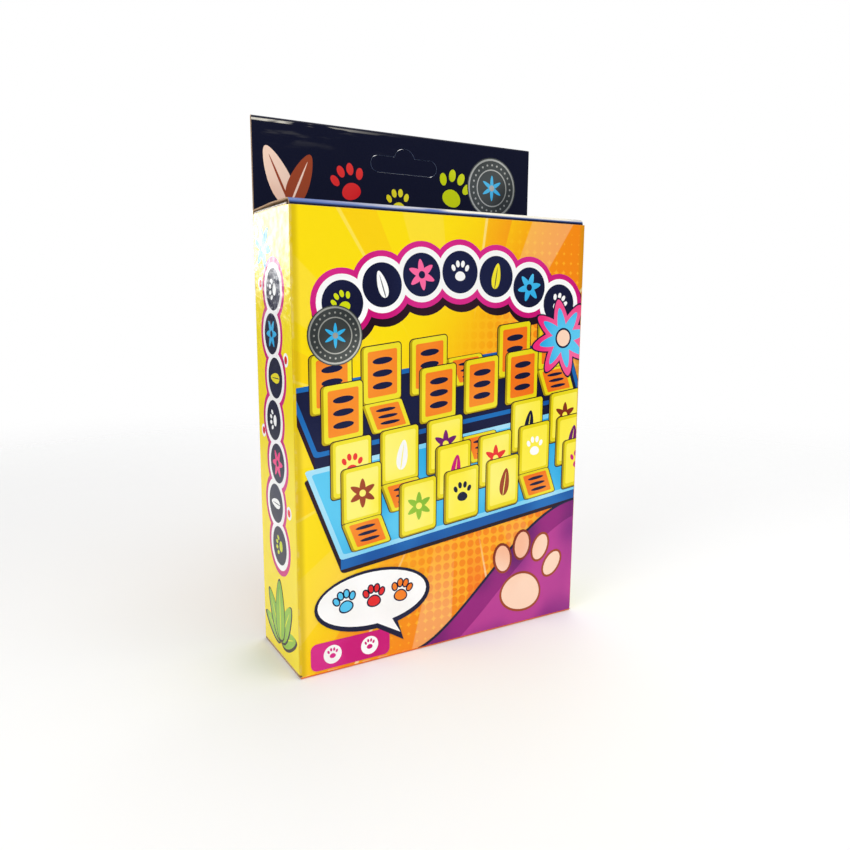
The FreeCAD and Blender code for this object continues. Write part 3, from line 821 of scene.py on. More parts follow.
def paint_frames(tray, face):
    """Yellow frames and, in their middle layer, the cards: picture on the face side, orange behind."""
    paint = Paint(tray + "_frames")
    low, high = box_mm("frame_" + tray + "_1_1")
    x, y, z = paint.place()
    depth = paint.axes(paint.facing)[1]
    card = abs(y - (low.y + high.y) / 2).rise(*CARD_LAYER) * abs(depth).rise(*CARD_TURN)
    picture = paint.mix(paint.noise(*PICTURE_NOISE).rise(*PICTURE_SPAN), CARD_FACE, CARD_WHITE)
    dots = ((x * DOT_PITCH).sine() * (z * DOT_PITCH).sine()).rise(*DOT_SPAN)
    back = paint.mix(dots, CARD_BACK, CARD_INK)
    paper = paint.mix((depth * face).rise(-SHARP, SHARP), back, picture)
    normal = paint.bump(paint.noise(*PEEL_NOISE), FRAME_PEEL, PEEL_STRENGTH)
    colour = paint.mix(card, FRAME_YELLOW, paper)
    return paint.set(Base_Color=colour, Roughness=FRAME_ROUGHNESS + card * CARD_ROUGH, Normal=normal)


blue_frames = paint_frames("blue", -1.0)
navy_frames = paint_frames("navy", 1.0)
print(blue_frames.name, navy_frames.name)

# %% [markdown]
# ### Deck and leaflet
#
# The deck is a stack of uncoated card: white edges with a few brown fibres, orange backs on its
# broad faces. The leaflet is thin paper that cockles a little.

# %% Deck and leaflet
PAPER = rgb(248, 247, 242)
PAPER_SHADE = rgb(226, 224, 214)
PAPER_ROUGHNESS = 0.7
COCKLE_NOISE = (60.0, 4.0)
COCKLE_DEPTH = 0.1 * MM
COCKLE_STRENGTH = 0.4
COCKLE_SHADE = 0.3
STOCK_NOISE = (900.0, 3.0)
STOCK_SPAN = (0.4, 0.7)
STOCK_SHARE = 0.25
STOCK_ROUGHNESS = 0.5
BROAD_FACE = (0.6, 0.8)


def paint_deck():
    """Stacked cards: white edges, orange backs."""
    paint = Paint("card_stock")
    flecks = paint.noise(*STOCK_NOISE).rise(*STOCK_SPAN)
    edge = paint.mix(flecks * STOCK_SHARE, CARD_WHITE, RAW)
    broad = abs(paint.axes(paint.facing)[0]).rise(*BROAD_FACE)
    return paint.set(Base_Color=paint.mix(broad, edge, CARD_BACK), Roughness=STOCK_ROUGHNESS)


def paint_leaflet():
    """Thin white paper."""
    paint = Paint("leaflet_paper")
    cockle = paint.noise(*COCKLE_NOISE)
    colour = paint.mix(cockle * COCKLE_SHADE, PAPER, PAPER_SHADE)
    normal = paint.bump(cockle, COCKLE_DEPTH, COCKLE_STRENGTH)
    return paint.set(Base_Color=colour, Roughness=PAPER_ROUGHNESS, Normal=normal)


card_stock = paint_deck()
leaflet_paper = paint_leaflet()
print(card_stock.name, leaflet_paper.name)

# %% [markdown]
# ### Dressing the nodes
#
# The CAD pieces have the right shapes already, so they stay as they are and only take a material.
# The two dust flaps of an end share one, and so do the twenty frames of a tray.

# %% Dress every node
BOARD_WHITE = rgb(238, 236, 228)
DOWN_AND_FRONT = (0.0, -0.5, -0.8)
UP_AND_FRONT = (0.0, -0.7, 0.7)
finishes = {
    "carton_sleeve": sleeve_board,
    "lid_panel": paint_flap("lid_board", lid_print, UP_AND_FRONT),
    "lid_tuck_flap": paint_flap("tuck_board", NAVY, TO_FRONT),
    "dust_flap": paint_flap("dust_board", BOARD_WHITE, TO_SKY),
    "bottom_panel": paint_flap("bottom_board", DEEP_ORANGE, DOWN_AND_FRONT),
    "bottom_tuck_flap": paint_flap("bottom_tuck_board", DEEP_ORANGE, TO_BACK),
    "bottom_dust_flap": paint_flap("bottom_dust_board", BOARD_WHITE, TO_FLOOR),
    "hang_slot_plug": paint_plug(),
    "tray_blue": blue_plastic,
    "tray_navy": navy_plastic,
    "score_slider": yellow_plastic,
    "frame_blue": blue_frames,
    "frame_navy": navy_frames,
    "mystery_card_deck": card_stock,
    "rules_leaflet": leaflet_paper,
}
dressed = 0
for start, finish in finishes.items():
    for name in frame["nodes"]:
        if name.startswith(start):
            slots = bpy.data.objects[name].data.materials
            slots.clear()
            slots.append(finish)
            dressed += 1
print(dressed, "of", len(frame["nodes"]), "nodes dressed")

# %% [markdown]
# ## Creased bands
#
# Board isn't cut where a dust flap folds: it is pressed into a crease and stays whole. Each flap
# gets a narrow band of board that starts inside the side panel and ends inside the flap.

# %% Creased bands
BOARD_STOCK = 0.5
BAND_INSET = 0.09
BAND_GRIP = 0.2
BAND_RINGS = 8


def crease_band(side, outward):
    """The creased band of board between a side panel and its dust flap."""
    low, high = box_mm("dust_flap_" + side)
    foot = Vector((outward[0] * (HALF_WIDTH - BOARD_STOCK / 2), (low.y + high.y) / 2, FRONT_TOP))
    fold = Vector((foot.x, foot.y, low.z))
    thick = BOARD_STOCK - 2 * BAND_INSET
    long = high.y - low.y - 2 * BAND_INSET
    tall = fold.z - foot.z + 2 * BAND_GRIP
    stretch = Matrix.Diagonal((thick * MM, long * MM, tall * MM, 1.0))
    band = bmesh.new()
    bmesh.ops.create_cube(band, size=1.0, matrix=Matrix.Translation((foot + fold) / 2 * MM) @ stretch)
    upright = [edge for edge in band.edges if edge.verts[0].co.xy == edge.verts[1].co.xy]
    bmesh.ops.subdivide_edges(band, edges=upright, cuts=BAND_RINGS, use_grid_fill=True)
    board = paint_flap("crease_board_" + side, SIDE_YELLOW, outward)
    piece = add_piece("crease_" + side, band, board)
    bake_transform(piece)


crease_band("left", TO_LEFT)
crease_band("right", TO_RIGHT)

# %% [markdown]
# ## The print
#
# The carton's print is a generic design: paw prints, leaves, petals and boards with frames. A real
# print is flat ink. It could be painted in the shader, but shapes with sharp outlines are easier to
# model, and they stay sharp from close by. So each shape is a thin prism of ink that stands over
# its panel by 0.3 mm at most. A shape's layer says what it covers.
#
# A shape is drawn flat, with u to the right and v up. `panel_pose` turns that drawing on to its
# panel, from the panel's outward direction and its distance from the carton's middle.

# %% Panels to print on
Panel = namedtuple("Panel", "pose low high")
FRONT_MARGIN = (1.0, 0.2)
SIDE_MARGIN = (2.0, 1.0)
HEADER_MARGIN = (1.6, 1.0)
HEADER_INSET = 0.4


def panel_pose(out, distance):
    """The move from a flat drawing to its panel."""
    up = Vector(TO_SKY)
    out = Vector(out)
    turn = Matrix((up.cross(out), up, out)).transposed()
    return Matrix.Translation(out * distance) @ turn.to_4x4()


def upright_panel(out, distance, half, foot, top):
    """A panel between its two upright edges, its foot and its top."""
    return Panel(panel_pose(out, distance), (-half, foot), (half, top))


panels = {
    "front": upright_panel(TO_FRONT, -sleeve_low.y, HALF_WIDTH - CREASE,
                           FRONT_MARGIN[0], FRONT_TOP - FRONT_MARGIN[1]),
    "header": upright_panel(TO_FRONT, -HEADER_FRONT, lid_high.x - HEADER_INSET,
                            FRONT_TOP + HEADER_MARGIN[0], TOP - HEADER_MARGIN[1]),
}
for side, out in (("left", TO_LEFT), ("right", TO_RIGHT)):
    panels[side] = upright_panel(out, HALF_WIDTH, HALF_DEPTH - CREASE,
                                 SIDE_MARGIN[0], FRONT_TOP - SIDE_MARGIN[1])
print(len(panels), "panels to print on")

# %% [markdown]
# ### Stamping a shape
#
# A motif's parts are placed by matrices: `put` turns a shape and sets it at its place, and `beside`
# finds the place of a part that turns with its motif. What runs over a panel's edge is cut off by
# four planes.

# %% Placing and trimming
def put(place, turn=0.0):
    """The move that turns a shape by some degrees and sets it at a place."""
    return Matrix.Translation((*place, 0.0)) @ Matrix.Rotation(radians(turn), 4, "Z")


def beside(place, offset, turn=0.0):
    """A place moved by an offset that turns with the motif."""
    return tuple((put(place, turn) @ Vector((*offset, 0.0))).xy)


def trim(shape, panel):
    """Cut a flat shape off at its panel's edges."""
    for corner, way in ((panel.low, -1.0), (panel.high, 1.0)):
        for out in ((way, 0.0, 0.0), (0.0, way, 0.0)):
            bmesh.ops.bisect_plane(shape, geom=shape.verts[:] + shape.edges[:] + shape.faces[:],
                                   plane_co=(*corner, 0.0), plane_no=out, clear_outer=True)


print("a quarter turn leads from (1, 0) to", [round(value) for value in beside((0, 0), (1, 0), 90)])

# %% [markdown]
# `stamp` sets a flat shape at its place, trims it, raises it to a prism and adds it to the mesh of
# its colour. Two tops at one height would fight for the same pixels, so shapes of one colour that
# overlap go on different layers; half a layer is enough.

# %% The stamp
LAYER = 0.008
HALF_LAYER = 0.5
SUNK = 0.02
inks = {}
carrier = bpy.data.meshes.new("carrier")


def stamp(colour, panel, layer, shape, place=(0.0, 0.0), turn=0.0):
    """Print a flat shape on a panel as a thin prism of ink; the shape is used up."""
    bmesh.ops.transform(shape, matrix=put(place, turn), verts=shape.verts)
    trim(shape, panels[panel])
    raised = bmesh.ops.extrude_face_region(shape, geom=shape.faces[:])["geom"]
    lid = [item for item in raised if isinstance(item, bmesh.types.BMVert)]
    bmesh.ops.translate(shape, vec=(0.0, 0.0, SUNK + LAYER * layer), verts=lid)
    pose = Matrix.Scale(MM, 4) @ panels[panel].pose @ Matrix.Translation((0.0, 0.0, -SUNK))
    bmesh.ops.transform(shape, matrix=pose, verts=shape.verts)
    shape.to_mesh(carrier)
    shape.free()
    if colour not in inks:
        inks[colour] = bmesh.new()
    inks[colour].from_mesh(carrier)


print("stamp ready, one layer is", LAYER, "mm")

# %% [markdown]
# ### Flat shapes
#
# All motifs are put together from a few flat shapes, each started from one of Blender's own. A disc
# is a filled circle that is stretched. A plate is a grid of one face, whose corners are rounded by a
# bevel of its vertices.

# %% Disc and plate
RIM = 40
CORNER_STEPS = 6


def disc(wide, high=None, rim=RIM):
    """A flat oval from its half sizes."""
    shape = bmesh.new()
    bmesh.ops.create_circle(shape, cap_ends=True, segments=rim, radius=1.0)
    bmesh.ops.scale(shape, vec=(wide, high or wide, 1.0), verts=shape.verts)
    return shape


def plate(wide, high, corner):
    """A flat rounded rectangle from its full sizes and its corners' radius."""
    shape = bmesh.new()
    bmesh.ops.create_grid(shape, x_segments=1, y_segments=1, size=0.5)
    bmesh.ops.scale(shape, vec=(wide, high, 1.0), verts=shape.verts)
    bmesh.ops.bevel(shape, geom=shape.verts[:], offset=corner, offset_type="OFFSET", affect="VERTICES",
                    segments=CORNER_STEPS, profile=0.5, material=-1)
    return shape


print("a disc has", RIM, "corners")

# %% [markdown]
# A petal is a disc that is moved up, so that it grows from its stalk, and drawn in towards its tip.
# Drawing in works like the Taper of a Simple Deform modifier: the higher a vertex, the nearer it
# comes to the middle line.

# %% Petal
PETAL_TAPER = 0.45


def tapered(shape, share):
    """Draw a shape in towards +v, by a share of its width for each millimetre."""
    for vert in shape.verts:
        vert.co.x *= 1 - share * vert.co.y
    return shape


def lifted(shape, high):
    """Move a shape up."""
    bmesh.ops.translate(shape, vec=(0.0, high, 0.0), verts=shape.verts)
    return shape


def petal(length, wide):
    """A leaf shape that grows from the origin along +v and narrows to its tip."""
    return tapered(lifted(disc(wide / 2, length / 2), length / 2), PETAL_TAPER / length)


print("a petal's tip is drawn in by", PETAL_TAPER)

# %% [markdown]
# ### Paw, leaf and blossom
#
# A paw print is a heel pad and four splayed toes; their sizes are shares of the print's own size.
# `grow` thickens it, so that a larger, darker print below makes an outline.

# %% Paw
SMALL_RIM = 20
HEEL = (0.46, 0.36)
HEEL_DROP = 0.3
HEEL_TAPER = 0.25
TOE = (0.17, 0.26)
TOE_RISE = 0.75
TOES = ((-0.62, 0.42, 24), (-0.23, 0.82, 8), (0.23, 0.82, -8), (0.62, 0.42, -24))


def paw(colour, panel, layer, place, size, turn=0.0, grow=0.0):
    """A paw print: one heel pad and four toes."""
    pad = tapered(disc(size * HEEL[0] + grow, size * HEEL[1] + grow), HEEL_TAPER / size)
    stamp(colour, panel, layer, pad, beside(place, (0.0, -size * HEEL_DROP), turn), turn)
    for across, up, splay in TOES:
        toe = disc(size * TOE[0] + grow, size * TOE[1] + grow, SMALL_RIM)
        spot = beside(place, (across * size, up * size * TOE_RISE), turn)
        stamp(colour, panel, layer, toe, spot, turn + splay)


def lined_paw(line, colour, panel, layer, place, size, turn, grow):
    """A paw print on a thicker one, which shows as its outline."""
    paw(line, panel, layer, place, size, turn, grow)
    paw(colour, panel, layer + 1, place, size, turn)


print(len(TOES), "toes on a paw")

# %% [markdown]
# A leaf is a petal with a midrib, a blossom a ring of petals round a heart. Neighbouring petals
# overlap, so every second one lies half a layer higher.

# %% Leaf and blossom
FULL_TURN = 360
BEAD_RIM = 16
LEAF_WIDTH = 0.5
MIDRIB = (0.86, 0.05)
BLOSSOM_PETALS = 6
BLOSSOM_WIDTH = 0.55
BLOSSOM_HEART = 0.24


def leaf(colour, rib, panel, layer, place, length, turn):
    """A pointed leaf with its midrib."""
    stamp(colour, panel, layer, petal(length, length * LEAF_WIDTH), place, turn)
    stamp(rib, panel, layer + 1, petal(length * MIDRIB[0], length * MIDRIB[1]), place, turn)


def blossom(colour, heart, panel, layer, place, size, turn=0.0):
    """A small flower of six petals."""
    for number in range(BLOSSOM_PETALS):
        level = layer + HALF_LAYER * (number % 2)
        angle = turn + FULL_TURN * number / BLOSSOM_PETALS
        stamp(colour, panel, level, petal(size, size * BLOSSOM_WIDTH), place, angle)
    stamp(heart, panel, layer + 1, disc(size * BLOSSOM_HEART, rim=BEAD_RIM), place)


print(BLOSSOM_PETALS, "petals on a blossom")

# %% [markdown]
# ### The garland
#
# A garland of navy discs runs over the front and along both sides. Each disc, or bead, carries a
# small motif, whose sizes are shares of the bead's own.

# %% Beads
BEADS = (("lime", "paw"), ("white", "leaf"), ("pink", "blossom"), ("white", "paw"),
         ("yellow", "leaf"), ("sky", "blossom"), ("white", "paw"))
BEAD_PAW = 0.62
BEAD_LEAF = 1.25
BEAD_LEAF_DROP = 0.6
BEAD_BLOSSOM = 0.72


def bead(number, panel, layer, place, size, turn):
    """A navy disc with one small motif."""
    colour, kind = BEADS[number]
    stamp("navy", panel, layer, disc(size), place)
    if kind == "paw":
        paw(colour, panel, layer + 1, place, size * BEAD_PAW, turn)
    elif kind == "leaf":
        stalk = beside(place, (0.0, -size * BEAD_LEAF_DROP), turn)
        leaf(colour, "navy", panel, layer + 1, stalk, size * BEAD_LEAF, turn)
    else:
        blossom(colour, "navy", panel, layer + 1, place, size * BEAD_BLOSSOM, turn)


print(len(BEADS), "beads")

# %% [markdown]
# On the front the beads hang in an arch, on rims of white and magenta with a shadow. Neighbours
# overlap, so every second bead's rims lie half a layer higher.

# %% The garland
GARLAND_MIDDLE = (3.0, 43.0)
GARLAND_RADIUS = 112.0
GARLAND_STEP = 9.0
GARLAND_DISC = 8.3
GARLAND_RIMS = (("shadow", 5.0, (1.0, -2.4)), ("magenta", 4.4, (0.0, 0.0)), ("white", 2.2, (0.0, 0.0)))
BEAD_LAYER = 5


def garland():
    """The arched row of discs over the front."""
    for number in range(len(BEADS)):
        turn = GARLAND_STEP * ((len(BEADS) - 1) / 2 - number)
        place = beside(GARLAND_MIDDLE, (0.0, GARLAND_RADIUS), turn)
        for layer, (colour, grow, offset) in enumerate(GARLAND_RIMS, 1):
            level = layer + HALF_LAYER * (number % 2)
            stamp(colour, "front", level, disc(GARLAND_DISC + grow), beside(place, offset))
        bead(number, "front", BEAD_LAYER, place, GARLAND_DISC, turn)


garland()
print("garland over", GARLAND_STEP * (len(BEADS) - 1), "degrees")

# %% [markdown]
# ### Drawn boards
#
# Two boards full of flip frames are drawn in a slanted view. A slant is a matrix like any other: its
# first column is where a step along a board's front edge leads in the picture, its second where a
# step up leads, for what stands, or a step back, for what lies.

# %% A slanted view
ALONG = Vector((0.965, 0.115))
BACK = Vector((-0.2, 0.52))
STAND = Vector((0.0, 1.0))


def slant(place, upright):
    """The move into the picture's slanted space, for what stands or lies at a place on a board."""
    upward = STAND if upright else BACK
    middle = ALONG * place[0] + BACK * place[1]
    rows = [(ALONG[axis], upward[axis], 0.0, middle[axis]) for axis in (0, 1)]
    return Matrix((*rows, (0.0, 0.0, 1.0, 0.0), (0.0, 0.0, 0.0, 1.0)))


def drawn(shape, place, upright):
    """Draw a shape in the slanted space."""
    bmesh.ops.transform(shape, matrix=slant(place, upright), verts=shape.verts)
    return shape


print("boards run up by", round(ALONG.y / ALONG.x, 2), "to the right")

# %% [markdown]
# Each card's face has one motif. Kinds and colours are dealt in turn, and because their numbers
# have no common factor, a pair comes round again only after two dozen cards.

# %% Pictures on the cards
CARD_KINDS = ("paw", "leaf", "blossom")
CARD_COLOURS = ("red", "white", "purple", "green", "navy", "brown", "sky", "magenta")
CARD_PAW = 5.4
CARD_PAW_OFFSET = (0.0, 0.4)
CARD_LEAF = 12.0
CARD_LEAF_OFFSET = (0.0, -6.0)
CARD_LEAF_TURN = -8
CARD_BLOSSOM = 5.8


def card_motif(number, layer, heart):
    """The picture on a card's face."""
    kind = CARD_KINDS[number % len(CARD_KINDS)]
    colour = CARD_COLOURS[number % len(CARD_COLOURS)]
    if kind == "paw":
        paw(colour, "front", layer, beside(heart, CARD_PAW_OFFSET), CARD_PAW)
    elif kind == "leaf":
        stalk = beside(heart, CARD_LEAF_OFFSET)
        leaf(colour, "lemon", "front", layer, stalk, CARD_LEAF, CARD_LEAF_TURN)
    else:
        blossom(colour, "lemon", "front", layer, heart, CARD_BLOSSOM)


print(len(CARD_KINDS), "kinds of cards in", len(CARD_COLOURS), "colours")

# %% [markdown]
# A flip frame is a yellow plate with a smaller one for its card, which has a motif on its face and
# three navy rungs on its orange back. The frame's thickness shows as an olive edge, drawn out to the
# left and down, and a dark line runs round all of it.

# %% One drawn frame
FRAME_SIZE = (16.4, 21.5)
FRAME_CORNER = 1.4
FRAME_LINE = 0.8
FRAME_EDGE = (1.0, 0.5)
FACE_INSET = (2.4, 3.0)
FACE_CORNER = 0.9
BACK_INSET = (3.4, 4.0)
BACK_CORNER = 0.8
RUNGS = (-4.8, 0.0, 4.8)
RUNG = (4.4, 1.3)


def drawn_out(shape):
    """Draw a shape out to the left and down, by a frame's thickness."""
    left = [vert for vert in shape.verts if vert.co.x < 0]
    low = [vert for vert in shape.verts if vert.co.y < 0]
    bmesh.ops.translate(shape, vec=(-FRAME_EDGE[0], 0.0, 0.0), verts=left)
    bmesh.ops.translate(shape, vec=(0.0, -FRAME_EDGE[1], 0.0), verts=low)
    return shape


def flip_frame(number, origin, layer, place, upright, back):
    """A yellow flip frame with its card, seen from the card's face or from its back."""
    wide, high = FRAME_SIZE

    def piece(colour, level, shape):
        stamp(colour, "front", layer + level, drawn(lifted(shape, high / 2), place, upright), origin)

    outline = plate(wide + FRAME_LINE, high + FRAME_LINE, FRAME_CORNER + FRAME_LINE / 2)
    piece("shadow", 0, drawn_out(outline))
    piece("olive", HALF_LAYER, drawn_out(plate(wide, high, FRAME_CORNER)))
    piece("yellow", 1, plate(wide, high, FRAME_CORNER))
    if back:
        piece("orange", 2, plate(wide - BACK_INSET[0], high - BACK_INSET[1], BACK_CORNER))
        for rise in RUNGS:
            piece("navy", 3, lifted(disc(*RUNG, SMALL_RIM), rise))
    else:
        piece("lemon", 2, plate(wide - FACE_INSET[0], high - FACE_INSET[1], FACE_CORNER))
        heart = slant(place, upright) @ Vector((0.0, high / 2, 0.0))
        card_motif(number, layer + 3, beside(origin, heart.xy))


print("frames of", FRAME_SIZE, "mm")

# %% [markdown]
# A board lies in the picture with a shadow, a front edge, a rim and a field. `Board` lists what
# differs between the two: colours, place, size and first layer, then how its rows of frames stand.

# %% One drawn board
Board = namedtuple("Board", "colour edge rim origin size layer rows row_layers start lying turned")
BOARD_LIP = 4.0
BOARD_LAP = 0.4
BOARD_CORNER = 1.6
FIELD_INSET = (4.0, 7.0)
FIELD_CORNER = 1.4
SHADOW_GROWTH = (2.0, 4.0)
SHADOW_CORNER = 2.0
SHADOW_DROP = (1.0, -4.4)


def flat(corners):
    """A flat shape from a few corners."""
    shape = bmesh.new()
    shape.faces.new([shape.verts.new((*corner, 0.0)) for corner in corners])
    return shape


def drawn_board(board):
    """A board lying in the picture, with its shadow, front edge and rim."""
    wide, deep = board.size
    middle = (wide / 2, deep / 2)
    front = [(0.0, -BOARD_LIP), (wide, -BOARD_LIP), (wide, BOARD_LAP), (0.0, BOARD_LAP)]
    shade = drawn(plate(wide + SHADOW_GROWTH[0], deep + SHADOW_GROWTH[1], SHADOW_CORNER), middle, False)
    rim = drawn(plate(wide, deep, BOARD_CORNER), middle, False)
    field = drawn(plate(wide - FIELD_INSET[0], deep - FIELD_INSET[1], FIELD_CORNER), middle, False)
    stamp("shadow", "front", board.layer, shade, beside(board.origin, SHADOW_DROP))
    stamp(board.edge, "front", board.layer + 1, drawn(flat(front), (0.0, 0.0), True), board.origin)
    stamp(board.rim, "front", board.layer + 2, rim, board.origin)
    stamp(board.colour, "front", board.layer + 3, field, board.origin)


print("boards stand", BOARD_LIP, "mm high in the picture")

# %% [markdown]
# The boards are drawn from back to front: the navy one with its cards turned away, then the light
# blue one before it. Within a board the front rows cover the rows behind. A few frames lie flat and
# show their backs.

# %% The two drawn boards
COLUMNS = 6
FRAME_STEP = 21.6
CARD_SHIFT = 5
FRAMES_OVER_BOARD = 4
BOARDS = (
    Board(colour="navy", edge="navy", rim="deep", origin=(-60.0, 86.0), size=(134.0, 50.0), layer=1,
          rows=(30.0, 8.0), row_layers=4, start=14.0, lying={(0, 3), (1, 1), (1, 5)}, turned=True),
    Board(colour="sky", edge="deep", rim="pale", origin=(-50.0, 45.0), size=(134.0, 70.0), layer=13,
          rows=(46.0, 25.0, 4.0), row_layers=5, start=15.0, lying={(0, 3), (1, 1), (2, 4), (2, 0)},
          turned=False),
)


def drawn_frames(board):
    """The rows of flip frames on a board."""
    for row, deep in enumerate(board.rows):
        layer = board.layer + FRAMES_OVER_BOARD + board.row_layers * row
        for column in range(COLUMNS):
            place = (board.start + FRAME_STEP * column, deep)
            lying = (row, column) in board.lying
            number = row * CARD_SHIFT + column
            flip_frame(number, board.origin, layer, place, not lying, lying or board.turned)


for board in BOARDS:
    drawn_board(board)
    drawn_frames(board)
print(COLUMNS * sum(len(board.rows) for board in BOARDS), "drawn frames")

# %% [markdown]
# ### The foot of the front
#
# A purple hill rises to the right with a large paw print. Its ridge is a sine, steeper than a
# circle's, so its corners are worked out. The hill covers the boards, so it starts on `FOOT_LAYER`.

# %% The hill
FOOT_LAYER = 32
HILL_START = -16.0
HILL_RUN = 86.0
HILL_RISE = 54.0
HILL_BEND = 1.5
HILL_COATS = (("navy", (-0.6, 0.8)), ("purple", (0.0, 0.0)), ("violet", (7.0, -6.0)))


def hill():
    """A purple hill with a large paw print."""
    corners = [(HILL_START + HILL_RUN, 0.0)]
    for step in range(RIM, -1, -1):
        share = step / RIM
        corners.append((HILL_START + HILL_RUN * share, HILL_RISE * sin(pi / 2 * share) ** HILL_BEND))
    for level, (colour, offset) in enumerate(HILL_COATS, FOOT_LAYER):
        stamp(colour, "front", level, flat(corners), offset)
    lined_paw("brown", "peach", "front", FOOT_LAYER + len(HILL_COATS), place=(39.0, 22.0), size=23.0,
              turn=-14, grow=1.1)


hill()
print("hill to", HILL_RISE, "mm")

# %% [markdown]
# At the left is a white speech bubble with three paw prints. It is an oval and a tail of three
# corners, both on larger navy ones that show as an outline.

# %% The speech bubble
BUBBLE = (-36.0, 27.0)
BUBBLE_SIZE = (24.0, 11.0)
BUBBLE_LINE = (1.5, 1.6)
BUBBLE_DROP = (0.3, -0.5)
TAIL_ROOT = -6.6
TAIL = ((-6.0, TAIL_ROOT), (6.0, TAIL_ROOT), (12.0, -17.0))
TAIL_RIM = ((-9.0, TAIL_ROOT), (9.0, TAIL_ROOT), (13.5, -20.6))
BUBBLE_PAWS = (("sky", (-12.4, 0.5), 12), ("red", (0.0, 0.5), 0), ("orange", (12.4, 0.5), -12))
BUBBLE_PAW = 5.6
BUBBLE_PAW_LINE = 0.58


def bubble():
    """A white speech bubble with a navy outline, a tail and three paw prints."""
    wide, high = BUBBLE_SIZE
    rim = disc(wide + BUBBLE_LINE[0], high + BUBBLE_LINE[1])
    stamp("navy", "front", FOOT_LAYER, rim, beside(BUBBLE, BUBBLE_DROP))
    stamp("navy", "front", FOOT_LAYER + HALF_LAYER, flat(TAIL_RIM), BUBBLE)
    stamp("white", "front", FOOT_LAYER + 1, disc(wide, high), BUBBLE)
    stamp("white", "front", FOOT_LAYER + 1 + HALF_LAYER, flat(TAIL), BUBBLE)
    for colour, offset, turn in BUBBLE_PAWS:
        lined_paw("navy", colour, "front", FOOT_LAYER + 3, beside(BUBBLE, offset), BUBBLE_PAW, turn,
                  BUBBLE_PAW_LINE)


bubble()
print(len(BUBBLE_PAWS), "paw prints in the bubble")

# %% [markdown]
# Below the bubble lies a magenta bar with two white discs, each with a small paw print.

# %% The magenta bar
BAR_MIDDLE = (-46.0, 7.5)
BAR_SIZE = (34.0, 11.0)
BAR_CORNER = 2.6
BAR_DISC = 3.8
BAR_PAW = 2.8
BAR_PAW_RISE = 0.3
BAR_SPOTS = (-8.0, 8.0)


def magenta_bar():
    """A magenta bar with two white discs."""
    stamp("magenta", "front", FOOT_LAYER, plate(*BAR_SIZE, BAR_CORNER), BAR_MIDDLE)
    for across in BAR_SPOTS:
        stamp("white", "front", FOOT_LAYER + 1, disc(BAR_DISC), beside(BAR_MIDDLE, (across, 0.0)))
        paw("magenta", "front", FOOT_LAYER + 2, beside(BAR_MIDDLE, (across, BAR_PAW_RISE)), BAR_PAW)


magenta_bar()
print(len(inks), "inks so far")

# %% [markdown]
# ### Badge and flower
#
# A silver badge and a large flower stand at the sides of the garland. The badge is rings on rings,
# a star of petals and a ring of pearls. Its sizes are shares of the badge's own.

# %% The badge
STAND_LAYER = 22
BADGE_RINGS = (("grey", 1.0), ("silver", 0.96), ("grey", 0.9), ("silver", 0.62), ("grey", 0.58))
STAR_POINTS = 6
STAR_PETAL = (0.42, 0.16)
STAR_HEART = 0.1
PEARLS = 24
PEARL = 0.035
PEARL_RIM = 10
PEARL_RING = 0.76


def badge(panel, layer, place, size):
    """A silver badge: rings, a star and a ring of pearls."""
    for level, (colour, share) in enumerate(BADGE_RINGS, layer):
        stamp(colour, panel, level, disc(size * share), place)
    top = layer + len(BADGE_RINGS)
    for number in range(STAR_POINTS):
        arm = petal(size * STAR_PETAL[0], size * STAR_PETAL[1])
        stamp("sky", panel, top, arm, place, FULL_TURN * number / STAR_POINTS)
    stamp("silver", panel, top + 1, disc(size * STAR_HEART, rim=BEAD_RIM), place)
    for number in range(PEARLS):
        spot = beside(place, (0.0, size * PEARL_RING), FULL_TURN * number / PEARLS)
        stamp("silver", panel, top, disc(size * PEARL, rim=PEARL_RIM), spot)


badge("front", STAND_LAYER, place=(-51.0, 131.0), size=11.0)
print(PEARLS, "pearls on the badge")

# %% [markdown]
# The flower has a navy line, a petal and an inner petal on each arm, and a heart over all. Its arms
# overlap, so every second one lies half a layer higher.

# %% The flower
FLOWER_COATS = (("navy", 1.05, 0.66), ("pink", 1.0, 0.58), ("sky", 0.78, 0.34))
FLOWER_HEART = (("navy", 0.26), ("peach", 0.21))
FLOWER_ARMS = 8


def flower(panel, layer, place, size, turn):
    """A large flower: navy line, petal and inner petal on each arm, and a heart."""
    for number in range(FLOWER_ARMS):
        angle = turn + FULL_TURN * number / FLOWER_ARMS
        for level, (colour, length, wide) in enumerate(FLOWER_COATS, layer):
            step = HALF_LAYER * (number % 2)
            stamp(colour, panel, level + step, petal(size * length, size * wide), place, angle)
    for level, (colour, share) in enumerate(FLOWER_HEART, layer + len(FLOWER_COATS) + 1):
        stamp(colour, panel, level, disc(size * share), place)


flower("front", STAND_LAYER, place=(57.0, 128.0), size=17.0, turn=12)
print(FLOWER_ARMS, "arms on the flower")

# %% [markdown]
# ### Sides
#
# Such cartons repeat the print of one side on the other. At the foot of each is a green sprig. Each
# of its leaves has its own layers, because it lies over its neighbour's midrib.

# %% The sprig
SPRIG_TURNS = (-70, 70, -35, 35, 0)
SPRIG_FOOT = (0.0, 8.0)
SPRIG_LENGTH = 25.0
SPRIG_LOSS = 0.1
SPRIG_LAYERS = 3
SPRIG_LINE = (1.6, 1.2)
SPRIG_LINE_DROP = (0.0, -0.8)


